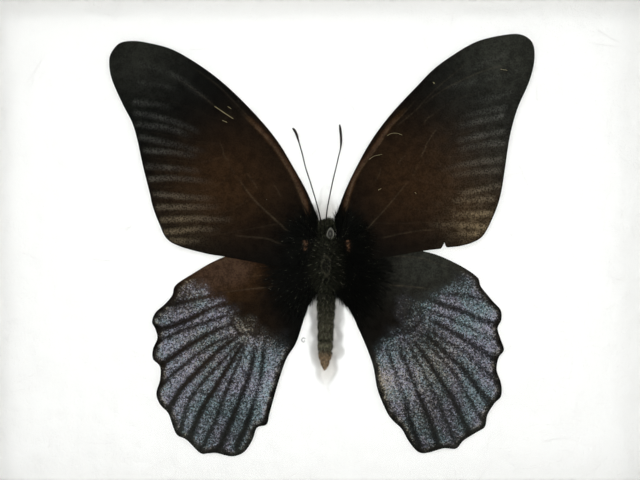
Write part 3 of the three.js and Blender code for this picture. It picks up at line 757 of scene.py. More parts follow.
def stained_wood(settings, name, upright):
    """Open-grained hardwood under dark stain and satin varnish: fine dark pores along the rail."""
    material, tree = new_tree(name)
    stretch = (1, 1, 0.06) if upright else (0.06, 1, 1)
    bands = noise(tree, object_places(tree, stretch), 3.5, detail=4, roughness=0.6, distortion=0.25)
    stretch = (1, 1, 0.035) if upright else (0.035, 1, 1)
    pores = noise(tree, object_places(tree, stretch), 0.5, detail=3, roughness=0.6)
    base = mixed(tree, ranged(tree, bands, 0.32, 0.68), settings.stain_dark, settings.stain_light)
    pore = ranged(tree, pores, 0.5, 0.66)
    base = mixed(tree, worked(tree, "MULTIPLY", pore, 0.7), base, settings.stain_dark)
    rough = ranged(tree, pores, 0.3, 0.7, 0.34, 0.5)
    height = worked(tree, "MULTIPLY", pore, -1.0)
    finished(
        tree, base, bumped(tree, height, 0.05, 0.7), roughness=rough, Coat_Weight=0.35, Coat_Roughness=0.22,
    )
    return material


def plated_metal(name, tint, grit):
    """Plated sheet steel, faintly streaked from the press and a little dulled."""
    material, tree = new_tree(name)
    streak = noise(tree, object_places(tree, (0.15, 1, 1)), grit, detail=4, roughness=0.6)
    dull = tuple(c * 0.62 for c in tint)
    base = mixed(tree, ranged(tree, streak, 0.3, 0.7), dull, tint)
    rough = ranged(tree, streak, 0.3, 0.7, 0.3, 0.46)
    finished(tree, base, bumped(tree, streak, 0.02), roughness=rough, Metallic=1.0)
    return material


def pale_floor(settings):
    """Pale matt paint with a very faint mottle."""
    material, tree = new_tree("pale_floor")
    mottle = noise(tree, object_places(tree), 60, detail=4)
    shade = tuple(c * 0.96 for c in settings.floor)
    base = mixed(tree, mottle, shade, settings.floor)
    finished(tree, base, roughness=0.85, Specular_IOR_Level=0.2)
    return material


def ease(low, high, value):
    """0 below low, 1 above high and smooth between."""
    share = np.clip((value - low) / (high - low), 0, 1)
    return share * share * (3 - 2 * share)


def spline(points, steps=8):
    """A smooth run through given points."""
    points = np.asarray(points, float)
    posts = np.vstack([2 * points[0] - points[1], points, 2 * points[-1] - points[-2]])
    t = np.linspace(0, 1, steps, endpoint=False)[:, None]
    runs = [
        0.5 * (2 * b + (c - a) * t + (2 * a - 5 * b + 4 * c - d) * t**2 + (3 * b - a - 3 * c + d) * t**3)
        for a, b, c, d in zip(posts, posts[1:], posts[2:], posts[3:])
    ]
    return np.vstack([*runs, points[-1:]])


def nearest(places, starts, ends):
    """How far each place is from the nearest step, and which share of the way along them that is."""
    best = np.full(len(places), 1e9)
    where = np.zeros(len(places))
    for index, (start, end) in enumerate(zip(starts, ends)):
        step = end - start
        offset = places - start
        share = np.clip(offset @ step / max(step @ step, 1e-9), 0, 1)
        gap = np.hypot(*(offset - share[:, None] * step).T)
        closer = gap < best
        best[closer] = gap[closer]
        where[closer] = (index + share[closer]) / len(starts)
    return best, where


def line_profile(places, course, widths, soft=0.3, fade=0.0):
    """1 on a course and 0 away from it. It starts faint, changes in width and may fade at its end."""
    run = spline(course)
    gap, where = nearest(places, run[:-1], run[1:])
    half = (widths[0] + (widths[1] - widths[0]) * where) / 2
    fading = ease(-0.1, 0.12, where) * (1 - fade * ease(0.8, 1.0, where))
    return (1 - ease(-soft, soft, gap - half)) * fading


def patches(places, spots):
    """The sum of some soft round patches."""
    total = np.zeros(len(places))
    for across, up, radius, strength in spots:
        gap = np.hypot(places[:, 0] - across, places[:, 1] - up)
        total = total + strength * np.exp(-((gap / radius) ** 2))
    return total


def ripples(places, wavelength, seed, count=14):
    """Smooth seeded noise of about -1 to 1, with waves of one length."""
    random = np.random.default_rng(seed)
    turns = random.uniform(0, 2 * math.pi, count)
    rates = 2 * math.pi / (wavelength * random.uniform(0.75, 1.35, count))
    phases = random.uniform(0, 2 * math.pi, count)
    ways = np.stack([np.cos(turns) * rates, np.sin(turns) * rates])
    return np.sin(places @ ways + phases).sum(axis=1) / math.sqrt(count)


def vertex_places(mesh):
    """The vertices as an array of three columns."""
    flat = np.empty(len(mesh.vertices) * 3, np.float32)
    mesh.vertices.foreach_get("co", flat)
    return flat.reshape(-1, 3).astype(float)


def move_vertices(mesh, places):
    """Puts the vertices at new places."""
    mesh.vertices.foreach_set("co", places.astype(np.float32).ravel())
    mesh.update()


def store(mesh, name, values):
    """Keeps a number for each vertex."""
    layer = mesh.attributes.get(name) or mesh.attributes.new(name, "FLOAT", "POINT")
    layer.data.foreach_set("value", np.broadcast_to(values, len(mesh.vertices)).astype(np.float32))


def flat_places(places):
    """Millimetres across and up from the middle of the pane."""
    return np.stack([places[:, 0], places[:, 2] - PANE_MIDDLE.z], axis=1) / MM


def standing(across, up, level):
    """The place in metres of a point on the specimen."""
    return np.array([across * MM, level, up * MM + PANE_MIDDLE.z])


def only(piece):
    """Selects one piece and nothing else."""
    bpy.ops.object.select_all(action="DESELECT")
    piece.select_set(True)
    bpy.context.view_layer.objects.active = piece


def settle(piece):
    """Puts a piece's place, turn and scale into its mesh."""
    only(piece)
    bpy.ops.object.transform_apply(location=True, rotation=True, scale=True)
    return piece


def apply_modifier(piece, kind, **settings):
    """Adds a modifier and applies it."""
    only(piece)
    modifier = piece.modifiers.new(kind.lower(), kind)
    for name, value in settings.items():
        setattr(modifier, name, value)
    bpy.ops.object.modifier_apply(modifier=modifier.name)


def smooth(piece, angle=35):
    """Shades smooth up to an angle in degrees."""
    only(piece)
    bpy.ops.object.shade_smooth_by_angle(angle=math.radians(angle))


def merged_copy(node, name):
    """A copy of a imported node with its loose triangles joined."""
    piece = bpy.data.objects.new(name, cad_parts[node].data.copy())
    bpy.context.scene.collection.objects.link(piece)
    only(piece)
    bpy.ops.object.mode_set(mode="EDIT")
    bpy.ops.mesh.select_all(action="SELECT")
    bpy.ops.mesh.remove_doubles(threshold=0.001 * MM)
    bpy.ops.object.mode_set(mode="OBJECT")
    return piece


def join_pieces(piece, others):
    """Joins other meshes to a piece."""
    bpy.ops.object.select_all(action="DESELECT")
    for other in others:
        other.select_set(True)
    piece.select_set(True)
    bpy.context.view_layer.objects.active = piece
    bpy.ops.object.join()
    return piece


def dress(piece, materials):
    """Gives a piece its materials, in place of any that it has."""
    if piece.data.materials:
        piece.data.materials.clear()  # this also puts every face on the first material
    for material in materials:
        piece.data.materials.append(material)


def hand_over(piece, slot, *nodes):
    """Hangs a piece on the root and hides the nodes that it stands for. The slot, its finish, is not used."""
    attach(piece, "root")
    if nodes:
        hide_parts(*nodes)
    return piece


def scatter(piece, count, seed, wanted=None):
    """Random places on a mesh's faces, with the faces' normals."""
    mesh = piece.data
    mesh.calc_loop_triangles()
    corners = np.empty(len(mesh.loop_triangles) * 3, np.int32)
    mesh.loop_triangles.foreach_get("vertices", corners)
    a, b, c = vertex_places(mesh)[corners.reshape(-1, 3)].transpose(1, 0, 2)
    cross = np.cross(b - a, c - a)
    size = np.linalg.norm(cross, axis=1)
    if wanted is not None:
        size = size * wanted((a + b + c) / 3, cross / np.maximum(size, 1e-18)[:, None])
    random = np.random.default_rng(seed)
    chosen = random.choice(len(size), count, p=size / size.sum())
    u, v = random.random((2, count, 1))
    over = (u + v) > 1
    u, v = np.where(over, 1 - u, u), np.where(over, 1 - v, v)
    places = a[chosen] + u * (b - a)[chosen] + v * (c - a)[chosen]
    return places, (cross / np.maximum(np.linalg.norm(cross, axis=1), 1e-18)[:, None])[chosen]


def unit(vectors):
    """The same vectors at a length of one."""
    return vectors / np.maximum(np.linalg.norm(vectors, axis=-1, keepdims=True), 1e-12)


def hair_ends(roots, aims, bends, lengths):
    """Where the hairs end, which is the part of them that shows: millimetres across and up."""
    return flat_places(roots + 0.8 * lengths[:, None] * (unit(aims) + bends))


def hair_tones(ends, seed, glints):
    """How light each hair is: 0 to 1 in small clumps, and 2 for the share that gets a painted glint at its
    end.
    """
    random = np.random.default_rng(seed)
    clump = 0.5 + 0.62 * ripples(ends, 1.2, seed + 1)
    tones = np.clip(0.25 * random.random(len(ends)) + 0.75 * clump, 0, 1)
    return np.where(random.random(len(ends)) < glints, 2.0, tones)


def hair_mesh(name, roots, aims, bends, lengths, radius, rings=2, material_index=0):
    """Closed three-sided hairs. Each sets off along its aim and is carried over towards its bend."""
    count = len(roots)
    aims, lengths = unit(aims), np.asarray(lengths)[:, None]
    radius = np.broadcast_to(radius, (count,))[:, None]
    side = unit(np.cross(aims, np.array([0.31, 0.17, 0.93])))
    other = np.cross(aims, side)
    vertices = np.empty((count, rings * 3 + 1, 3))
    share = np.empty(rings * 3 + 1)
    for ring in range(rings + 1):
        t = ring / rings
        middle = roots + lengths * (aims * t + bends * t * t)
        if ring == rings:
            vertices[:, -1] = middle
            share[-1] = 1
            continue
        width = radius * (1 - 0.6 * t)
        for corner in range(3):
            turn = corner * 2 * math.pi / 3
            row = ring * 3 + corner
            vertices[:, row] = middle + width * (math.cos(turn) * side + math.sin(turn) * other)
            share[row] = t
    pattern = [(2, 1, 0)]
    for ring in range(rings - 1):
        low, high = ring * 3, ring * 3 + 3
        pattern += [(low + k, low + (k + 1) % 3, high + (k + 1) % 3, high + k) for k in range(3)]
    last = rings * 3 - 3
    pattern += [(last + k, last + (k + 1) % 3, rings * 3) for k in range(3)]
    starts = np.arange(count) * (rings * 3 + 1)
    faces = [tuple(start + k for k in face) for start in starts.tolist() for face in pattern]
    mesh = bpy.data.meshes.new(name)
    mesh.from_pydata(vertices.reshape(-1, 3), [], faces)
    mesh.polygons.foreach_set("material_index", np.full(len(mesh.polygons), material_index, np.int32))
    store(mesh, "along", np.tile(share, count))
    piece = bpy.data.objects.new(name, mesh)
    bpy.context.scene.collection.objects.link(piece)
    return piece


def tube(name, route, radii, sides=8):
    """A closed round tube along a route, with a radius at each of its points."""
    route = np.asarray(route, float)
    ways = unit(np.gradient(route, axis=0))
    side = unit(np.cross(ways, np.array([0.0, 1.0, 0.0])))
    other = np.cross(ways, side)
    turns = np.arange(sides) * 2 * math.pi / sides
    ring = np.cos(turns)[None, :, None] * side[:, None] + np.sin(turns)[None, :, None] * other[:, None]
    vertices = (route[:, None] + ring * np.asarray(radii)[:, None, None]).reshape(-1, 3)
    faces = [
        (i * sides + k, i * sides + (k + 1) % sides, (i + 1) * sides + (k + 1) % sides, (i + 1) * sides + k)
        for i in range(len(route) - 1)
        for k in range(sides)
    ]
    faces.append(tuple(reversed(range(sides))))
    faces.append(tuple(range((len(route) - 1) * sides, len(route) * sides)))
    mesh = bpy.data.meshes.new(name)
    mesh.from_pydata(vertices, [], faces)
    piece = bpy.data.objects.new(name, mesh)
    bpy.context.scene.collection.objects.link(piece)
    return piece


def outline_steps(piece):
    """The steps of a plate's outline, in millimetres across and up."""
    steps = []
    shape = bmesh.new()
    shape.from_mesh(piece.data)
    for edge in shape.edges:
        tilts = sorted(abs(face.normal.y) for face in edge.link_faces)
        if len(tilts) == 2 and tilts[0] < 0.5 < tilts[1]:
            steps.append([vertex.co[:] for vertex in edge.verts])
    shape.free()
    starts, ends = np.array(steps).transpose(1, 0, 2)
    return flat_places(starts), flat_places(ends)


def wing_sheet(node, settings):
    """A fine sheet in the outline of a wing, at the wing's middle level."""
    low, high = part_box(node)
    columns = math.ceil((high.x - low.x) / settings.cell) + 2
    rows = math.ceil((high.z - low.z) / settings.cell) + 2
    bpy.ops.object.select_all(action="DESELECT")
    bpy.ops.mesh.primitive_grid_add(
        x_subdivisions=columns, y_subdivisions=rows, size=1, location=(low + high) / 2,
        rotation=(math.pi / 2, 0, 0),
    )
    sheet = bpy.context.object
    sheet.name = node + "_scaled"
    sheet.scale = (columns * settings.cell, rows * settings.cell, 1)
    settle(sheet)
    apply_modifier(sheet, "SOLIDIFY", thickness=settings.thickness, offset=0)
    cutter = merged_copy(node, "cutter")
    starts, ends = outline_steps(cutter)
    cutter.scale.y = 3
    cutter.location.y = -2 * (low.y + high.y) / 2
    settle(cutter)
    apply_modifier(sheet, "BOOLEAN", operation="INTERSECT", object=cutter, solver="MANIFOLD")
    bpy.data.objects.remove(cutter)
    return sheet, starts, ends


def hindwing_dust(places, wing, edge):
    """Pale dust on a hindwing: all over the outer part, but for the dark lines and the margin."""
    root = np.array(wing["root"], float)
    front = spline(wing["front"]) - root
    order = np.argsort(np.arctan2(front[:, 1], np.abs(front[:, 0])))
    angles = np.arctan2(front[:, 1], np.abs(front[:, 0]))[order]
    arms = np.hypot(*front.T)[order]
    offset = places - root
    angle = np.arctan2(offset[:, 1], np.abs(offset[:, 0]))
    beyond = np.hypot(*offset.T) - np.interp(angle, angles, arms)
    beyond = beyond + ripples(places, 5, wing["seed"]) * 0.8
    margin = edge + ripples(places, 3, wing["seed"] + 5) * 0.3
    amount = ease(0, 8, beyond) * (0.35 + 0.65 * ease(0.6, 2.0, margin)) * ease(0.2, 0.9, margin)
    for across, up, half_width, half_height, strength, outline in wing["cells"]:
        reach = np.hypot((places[:, 0] - across) / half_width, (places[:, 1] - up) / half_height)
        reach = reach + 0.14 * ripples(places, 4.5, wing["seed"] + 9)
        reach = reach + 0.06 * ripples(places, 1.4, wing["seed"])
        amount = amount * (1 - outline * np.exp(-(((reach - 1.25) / 0.22) ** 2)))
        amount = np.maximum(amount, strength * (1 - ease(0.6, 1.15, reach)))
    clear = 1 - np.clip(patches(places, wing["faint"]), 0, 1)
    heavy, fine = wing["lines"]
    for course in wing["heavy"]:
        amount = amount * (1 - heavy * clear * line_profile(places, course, HEAVY_LINE, soft=0.75))
    for course in wing["fine"]:
        amount = amount * (1 - fine * clear * line_profile(places, course, FINE_LINE, soft=0.65))
    return amount * (0.76 + patches(places, wing["pools"]))


def forewing_bloom(places, wing, edge):
    """Pale scales on a forewing: soft thin bands that fade towards the base, in a faint haze."""
    amount = np.zeros(len(places))
    for course in wing["bands"]:
        run = spline(course)
        gap, where = nearest(places, run[:-1], run[1:])
        fading = (1 - 0.55 * ease(0.2, 0.9, where)) * (1 - ease(0.75, 1.0, where))
        amount = np.maximum(amount, 0.055 * fading * (1 - ease(0.1, 1.4, gap)))
    strength = 0.9 + patches(places, wing["pools"]) + 0.2 * ripples(places, 6, wing["seed"] + 3)
    haze = patches(places, wing["haze"]) * (1 + 0.3 * ripples(places, 4, wing["seed"] + 4))
    return (amount * strength + haze) * ease(0.0, 0.6, edge)


def wing_relief(places, wing, settings):
    """How far the sheet stands towards the viewer, in metres, and how strong the painted glint on its veins
    is.
    """
    ridge = np.zeros(len(places))
    bare = np.zeros(len(places))
    for strength, course in wing["veins"]:
        line = line_profile(places, course, (0.2, 0.05), soft=0.3, fade=1.0)
        ridge = np.maximum(ridge, line)
        # bare is the strength of the painted glint along each vein
        bare = np.maximum(bare, line * strength)
    for course in wing.get("heavy", ()):
        ridge = np.maximum(ridge, line_profile(places, course, (0.5, 0.3), soft=0.35))
    reach = np.hypot(*(places - np.array(wing["root"])).T)
    wave = ripples(places, 26, wing["seed"]) * ease(12, 45, reach)
    cockle = ripples(places, 7, wing["seed"] + 1) * 0.12
    lift = settings.lift * (wave * 0.5 + cockle) * (0.6 if "front" in wing else 1.2)
    return ridge * settings.vein_height + np.clip(lift, -0.12 * MM, None), bare


def wing_fur(node, wing, sheet, settings, radius):
    """Hairs at a wing's base, lying along it away from the body."""
    root = np.array(wing["root"], float)
    middle = (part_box(node)[0].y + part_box(node)[1].y) / 2

    def near_base(middles, normals):
        reach = np.hypot(*(flat_places(middles) - root).T)
        return (normals[:, 1] < -0.5) * (1 - ease(wing["furred"] * 0.35, wing["furred"], reach)) ** 2

    places, normals = scatter(sheet, settings.hairs, wing["seed"] + 7, near_base)
    random = np.random.default_rng(wing["seed"] + 8)
    flat = flat_places(places)
    away = unit(flat - root + random.normal(0, 1.2, flat.shape))
    aims = np.stack([away[:, 0], -random.uniform(0.12, 0.4, len(flat)), away[:, 1]], axis=1)
    bends = np.stack([away[:, 0] * 0, random.uniform(0.02, 0.2, len(flat)), away[:, 1] * 0 - 0.08], axis=1)
    rust = np.clip(patches(flat, wing["rust"]), 0, 1)
    lengths = random.uniform(1.4, 3.4, len(flat)) * (1 - 0.7 * ease(0.1, 0.5, rust)) * MM
    tones = hair_tones(hair_ends(places, aims, bends, lengths), wing["seed"] + 9, 0.025)
    lengths = lengths * np.where(tones > 1.5, 0.5, 1.0)
    hairs = hair_mesh(node + "_fur", places, aims, bends, lengths, radius, material_index=1)
    vertices = vertex_places(hairs.data)
    vertices[:, 1] = np.minimum(vertices[:, 1], middle + 0.05 * MM)
    move_vertices(hairs.data, vertices)
    per_hair = len(hairs.data.vertices) // len(flat)
    store(hairs.data, "tone", np.repeat(tones, per_hair))
    store(hairs.data, "rust", np.repeat(ease(0.25, 0.75, rust), per_hair))
    return hairs


def build_wing(node, wing, settings, radius, materials):
    """One wing: its sheet, veins, markings and the hairs at its base."""
    sheet, starts, ends = wing_sheet(node, settings)
    mesh = sheet.data
    places = vertex_places(mesh)
    flat = flat_places(places)
    edge, _ = nearest(flat, starts, ends)
    dusted = "front" in wing
    dust = hindwing_dust(flat, wing, edge) if dusted else np.zeros(len(flat))
    bloom = np.zeros(len(flat)) if dusted else forewing_bloom(flat, wing, edge)
    relief, vein = wing_relief(flat, wing, settings)
    places[:, 1] -= relief
    move_vertices(mesh, places)
    store(mesh, "dust", np.clip(dust, 0, 1))
    store(mesh, "bloom", np.clip(bloom, 0, 1))
    store(mesh, "vein", vein)
    marks = {name: patches(flat, wing[name]) for name in ("brown", "grey", "rust", "warm")}
    if "strip" in wing:
        strip = line_profile(flat, wing["strip"], (STRIP_WIDTH, STRIP_WIDTH), soft=0.6, fade=1.0)
        marks["brown"] = np.maximum(marks["brown"], 1.9 * strip)
    else:
        marks["warm"] = marks["warm"] + 0.7 * (1 - ease(0.6, 2.6, edge))
    for name, values in marks.items():
        store(mesh, name, np.clip(values, 0, 2 if name == "brown" else 1))
    dress(sheet, materials)
    smooth(sheet)
    hairs = wing_fur(node, wing, sheet, settings, radius)
    dress(hairs, materials)
    join_pieces(sheet, [hairs])
    hand_over(sheet, "wing_scales", node)


class SPECIMEN_OT_wings(bpy.types.Operator):
    """Makes the four wings: fine sheets with veins, markings and basal hair"""
    bl_idname = "specimen.wings"
    bl_label = "Wings"

    def execute(self, context):
        settings = context.scene.specimen_wings
        body = context.scene.specimen_body
        coat = fur("wing_fur", settings.black, body.black, body.glint, rust=settings.rust)
        materials = [wing_scales(settings), coat]
        for node, wing in WINGS.items():
            build_wing(node, wing, settings, body.hair_radius, materials)
        return {"FINISHED"}


def fine_body(node):
    """A smooth mesh in the shape of a body node."""
    piece = merged_copy(node, node + "_furred")
    apply_modifier(piece, "SUBSURF", levels=2, render_levels=2)
    return piece


def add_hairs(piece, places, aims, bends, lengths, radius, marks, rings=2):
    """Joins hairs to a piece. Their material is the piece's second, and the palest are thicker."""
    radius = radius * np.where(marks["tone"] > 1.5, 1.5, 1.0)
    hairs = hair_mesh(piece.name + "_hair", places, aims, bends, lengths, radius, rings, material_index=1)
    per_hair = len(hairs.data.vertices) // len(places)
    for name, values in marks.items():
        store(hairs.data, name, np.repeat(values, per_hair))
    dress(hairs, list(piece.data.materials))
    join_pieces(piece, [hairs])


def build_thorax(settings, materials):
    """The thorax: a domed back with its shield plate, in long fur that leans out over the wing bases."""
    piece = fine_body("thorax")
    places = vertex_places(piece.data)
    flat = flat_places(places)
    across, up = (flat - THORAX_MIDDLE).T
    facing = ease(0.0, 2.5 * MM, BODY_LEVEL - places[:, 1])
    # The shield plate is an oval with a raised rim
    oval = np.hypot(*((flat - SHIELD_MIDDLE) / SHIELD_RADII).T) + 0.08 * ripples(flat, 1.6, 32)
    relief = -0.22 * np.exp(-((across / 0.3) ** 2)) + 0.2 * np.exp(-(((oval - 1) / 0.2) ** 2))
    relief = relief + 0.12 * ripples(np.stack([across, up], axis=1), 2.2, 31)
    places[:, 1] -= relief * facing * MM
    move_vertices(piece.data, places)
    uneven = 0.25 + 0.2 * ripples(flat, 1.3, 33)
    store(piece.data, "buff", np.clip(uneven, 0, 1) * np.exp(-(((oval - 1) / 0.16) ** 2)) * facing)
    dress(piece, materials)
    smooth(piece, 60)

    def furry(middles, normals):
        spot = flat_places(middles)
        bare = np.exp(-(np.hypot(*((spot - SHIELD_MIDDLE) / SHIELD_BARE_RADII).T) ** 4))
        return (normals[:, 1] < 0.35) * (1 - 0.8 * bare)

    roots, normals = scatter(piece, settings.thorax_hairs, 41, furry)
    random = np.random.default_rng(42)
    spot = flat_places(roots)
    across, up = (spot - THORAX_MIDDLE).T
    out = np.stack([across * 0.32, up * 0, up * 0.1], axis=1)
    aims = normals * 0.75 + out + random.normal(0, 0.5, out.shape)
    bends = out * 0.5 + np.array([0, 0.2, -0.15]) + random.normal(0, 0.12, out.shape)
    side = np.clip(np.abs(across) / 4, 0, 1)
    lengths = (0.7 + 1.9 * side * random.uniform(0.4, 1, len(side))) * MM
    rust_spots = np.clip(patches(spot, FOREWING_LEFT_RUST + FOREWING_RIGHT_RUST), 0, 1)
    tones = hair_tones(hair_ends(roots, aims, bends, lengths), 43, 0.02)
    lengths = lengths * np.where(tones > 1.5, 0.85, 1.0)
    tones = np.where(tones > 1.5, tones, tones * (1 - 0.8 * side))
    marks = {"tone": tones, "rust": rust_spots}
    add_hairs(piece, roots, aims, bends, lengths, settings.hair_radius, marks, rings=3)
    hand_over(piece, "body_fur", "thorax")


def abdomen_marks(up):
    """How buff and how brown the abdomen is at each height."""
    share = (ABDOMEN_HIGH.z - PANE_MIDDLE.z - up * MM) / (ABDOMEN_HIGH.z - ABDOMEN_LOW.z)
    hoops = ease(0.5, 0.95, np.abs(np.sin(math.pi * ABDOMEN_RINGS * share))) * 0.1 * ease(-15, -26, up)
    pale_ring = np.exp(-(((up - PALE_RING_UP) / 0.7) ** 2))
    dark_joint = np.exp(-(((up - DARK_JOINT_UP) / 0.5) ** 2))
    buff = 0.24 * ease(-14, -30, up) + hoops + 0.42 * pale_ring - 0.2 * dark_joint
    return {"buff": np.clip(buff, 0, 1), "tip": ease(-32.6, -35.5, up)}


def build_abdomen(settings, materials):
    """The abdomen: eight rings in short scales, with a pale ring and a worn brown tip."""
    piece = fine_body("abdomen")
    places = vertex_places(piece.data)
    length_down = ABDOMEN_HIGH.z - ABDOMEN_LOW.z
    share = (ABDOMEN_HIGH.z - places[:, 2]) / length_down
    centre_x = (ABDOMEN_TOP_ACROSS - ABDOMEN_DRIFT * share) * MM
    outward = np.stack([places[:, 0] - centre_x, places[:, 1] - BODY_LEVEL], axis=1)
    arm = np.hypot(*outward.T)
    ring = np.abs(np.sin(math.pi * ABDOMEN_RINGS * share))
    groove = -0.2 * (1 - ease(0.0, 0.5, ring))
    turn = np.arctan2(outward[:, 1], outward[:, 0])
    wrinkle = 0.07 * ripples(np.stack([turn * 2.2, share * 24], axis=1), 1.7, 51)
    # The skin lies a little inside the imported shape, and the scales fill the gap
    inset = 0.22 * ease(-38, -32, flat_places(places)[:, 1])
    grown = arm + (groove + wrinkle - inset) * MM * ease(0.2 * MM, 1.2 * MM, arm)
    places[:, 0] = centre_x + outward[:, 0] * grown / np.maximum(arm, 1e-9)
    places[:, 1] = BODY_LEVEL + outward[:, 1] * grown / np.maximum(arm, 1e-9)
    move_vertices(piece.data, places)
    for name, values in abdomen_marks(flat_places(places)[:, 1]).items():
        store(piece.data, name, values)
    dress(piece, materials)
    smooth(piece, 60)

    roots, normals = scatter(piece, settings.abdomen_hairs, 52, lambda _, facing: facing[:, 1] < 0.5)
    random = np.random.default_rng(53)
    aims = normals * 0.5 + np.array([0, 0, -0.7]) + random.normal(0, 0.3, normals.shape)
    bends = np.tile(np.array([0.0, 0.0, -0.25]), (len(roots), 1))
    upper = ease(-26, -16, flat_places(roots)[:, 1])
    tip = ease(-33, -37, flat_places(roots)[:, 1])
    lengths = random.uniform(0.4, 1.0, len(roots)) * (1 + 0.2 * upper) * (1 - 0.5 * tip) * MM
    tones = hair_tones(hair_ends(roots, aims, bends, lengths), 54, 0.05)
    marks = {"tone": tones, **abdomen_marks(flat_places(roots)[:, 1])}
    add_hairs(piece, roots, aims, bends, lengths, settings.hair_radius * 0.8, marks)
    hand_over(piece, "body_fur", "abdomen")


def build_head(settings, materials):
    """The head: a furred skull with a tuft, the right eye bare and dried, and the left under fur."""
    piece = fine_body("head")
    places = vertex_places(piece.data)
    middle = standing(*HEAD_MIDDLE, BODY_LEVEL)
    tone = np.zeros(len(places))
    rim = np.zeros(len(places))
    for (across, up, forward), hidden in zip(EYES, EYE_HAIRS):
        eye = middle + np.array([across, -forward, up]) * MM
        offset = places - eye
        gap = np.linalg.norm(offset, axis=1) / (EYE_RADIUS * MM)
        on_eye = (np.abs(gap - 1) < 0.12) & (offset[:, 1] < 0.6 * MM) & (hidden < 0.5)
        tone = np.maximum(tone, on_eye)
        edge = np.hypot(offset[:, 0], offset[:, 2]) / (EYE_RADIUS * MM)
        # The rim, brightest on the lower right, and the faint spot in the middle are painted highlights
        lower = 0.6 + 0.4 * ease(-0.5 * MM, 0.7 * MM, offset[:, 0] - offset[:, 2])
        rim = np.maximum(rim, on_eye * lower * np.exp(-(((edge - 0.85) / 0.2) ** 2)))
        rim = np.maximum(rim, on_eye * 0.25 * np.exp(-(((edge - 0.1) / 0.15) ** 2)))
        places[on_eye] = eye + EYE_SHIFT * MM + offset[on_eye] * EYE_STRETCH
    move_vertices(piece.data, places)
    store(piece.data, "rim", rim)
    store(piece.data, "buff", ease(4.2, 6.0, flat_places(places)[:, 1]))
    dress(piece, materials)
    smooth(piece, 60)
    for face in piece.data.polygons:
        face.material_index = 2 if all(tone[v] for v in face.vertices) else 0

    def off_eyes(middles, normals):
        clear = np.ones(len(middles))
        for (across, up, forward), hidden in zip(EYES, EYE_HAIRS):
            eye = middle + (np.array([across, -forward, up]) + EYE_SHIFT) * MM
            reach = np.linalg.norm((middles - eye) / EYE_STRETCH, axis=1)
            outside = ease(1.12, 1.35, reach / (EYE_RADIUS * MM))
            clear = clear * np.maximum(outside, hidden)
        return clear * (normals[:, 1] < 0.4)

    roots, normals = scatter(piece, settings.head_hairs, 61, off_eyes)
    random = np.random.default_rng(62)
    flat = flat_places(roots)
    tuft = np.exp(-(np.hypot(flat[:, 0] - 2.2, flat[:, 1] - 4.6) / 1.0) ** 2)
    forward = np.array([0.15, -0.25, 0.6])
    edges = np.clip(np.abs(flat[:, 0] - HEAD_MIDDLE[0]) / 1.6, 0, 1) ** 2
    aims = normals * (0.8 + edges[:, None]) + forward * (0.4 + tuft[:, None])
    aims = aims + random.normal(0, 0.35, normals.shape)
    bends = np.tile(np.array([0.0, 0.05, 0.1]), (len(roots), 1))
    lengths = random.uniform(0.5, 1.1, len(roots)) * (1 + tuft + 0.9 * edges) * MM
    crown = ease(3.9, 6.2, flat[:, 1]) * random.uniform(0.4, 1.0, len(roots))
    tones = hair_tones(hair_ends(roots, aims, bends, lengths), 63, 0.02)
    tones = np.maximum(tones, 1.5 * crown + 0.4 * (crown > 0.3))
    add_hairs(piece, roots, aims, bends, lengths, settings.hair_radius * 0.9, {"tone": tones})
    hand_over(piece, "body_fur", "head")


class SPECIMEN_OT_body(bpy.types.Operator):
    """Makes the thorax, abdomen and head, with their fur and eyes"""
    bl_idname = "specimen.body"
    bl_label = "Body"

    def execute(self, context):
        settings = context.scene.specimen_body
        rust = context.scene.specimen_wings.rust
        tints = {"rust": rust, "buff": settings.buff, "tip": settings.tip}
        coat = fur("body_fur", settings.black, settings.olive, settings.glint, **tints)
        materials = [body_skin(settings), coat]
        build_thorax(settings, materials)
        build_abdomen(settings, materials)
        build_head(settings, [*materials, dried_eye(settings)])
        return {"FINISHED"}


class SPECIMEN_OT_antennae(bpy.types.Operator):
    """Makes the two antennae: ringed shafts that swell to a club"""
    bl_idname = "specimen.antennae"
    bl_label = "Antennae"

    def execute(self, context):
        material = antenna_horn(context.scene.specimen_body)
        for node, points in ANTENNAE.items():
            run = spline(points, steps=14)
            route = np.array([standing(a, u, BED_LOW.y - forward * MM) for a, u, forward in run])
            share = np.linspace(0, 1, len(route))
            club = ease(0.7, 0.86, share) * (1 - 0.75 * ease(0.95, 1.0, share))
            ringed = 1 + 0.09 * np.cos(np.arange(len(route)) * math.pi)
            piece = tube(node + "_ringed", route, (0.17 + 0.2 * club) * ringed * MM)
            dress(piece, [material])
            smooth(piece, 60)
            hand_over(piece, "antenna_horn", node)
        return {"FINISHED"}


def hollow(flat):
    """How deep the cotton lies below its face at each place, and how much painted shade the hollow gets."""
    ups, halves = np.array(GROOVE_HALF_WIDTHS, float).T
    levels, depths = np.array(GROOVE_DEPTHS, float).T
    half = np.interp(flat[:, 1], ups, halves)
    depth = np.interp(flat[:, 1], levels, depths)
    away = np.abs(flat[:, 0] - GROOVE_ACROSS) + 0.35 * ripples(flat, 5, 71)
    fall = 1 - ease(0.38, 1.0, away / np.maximum(half, 0.01))
    # The second value is painted shade, which grows with the hollow's depth
    return depth * fall, fall * ease(0, 2.5, depth)


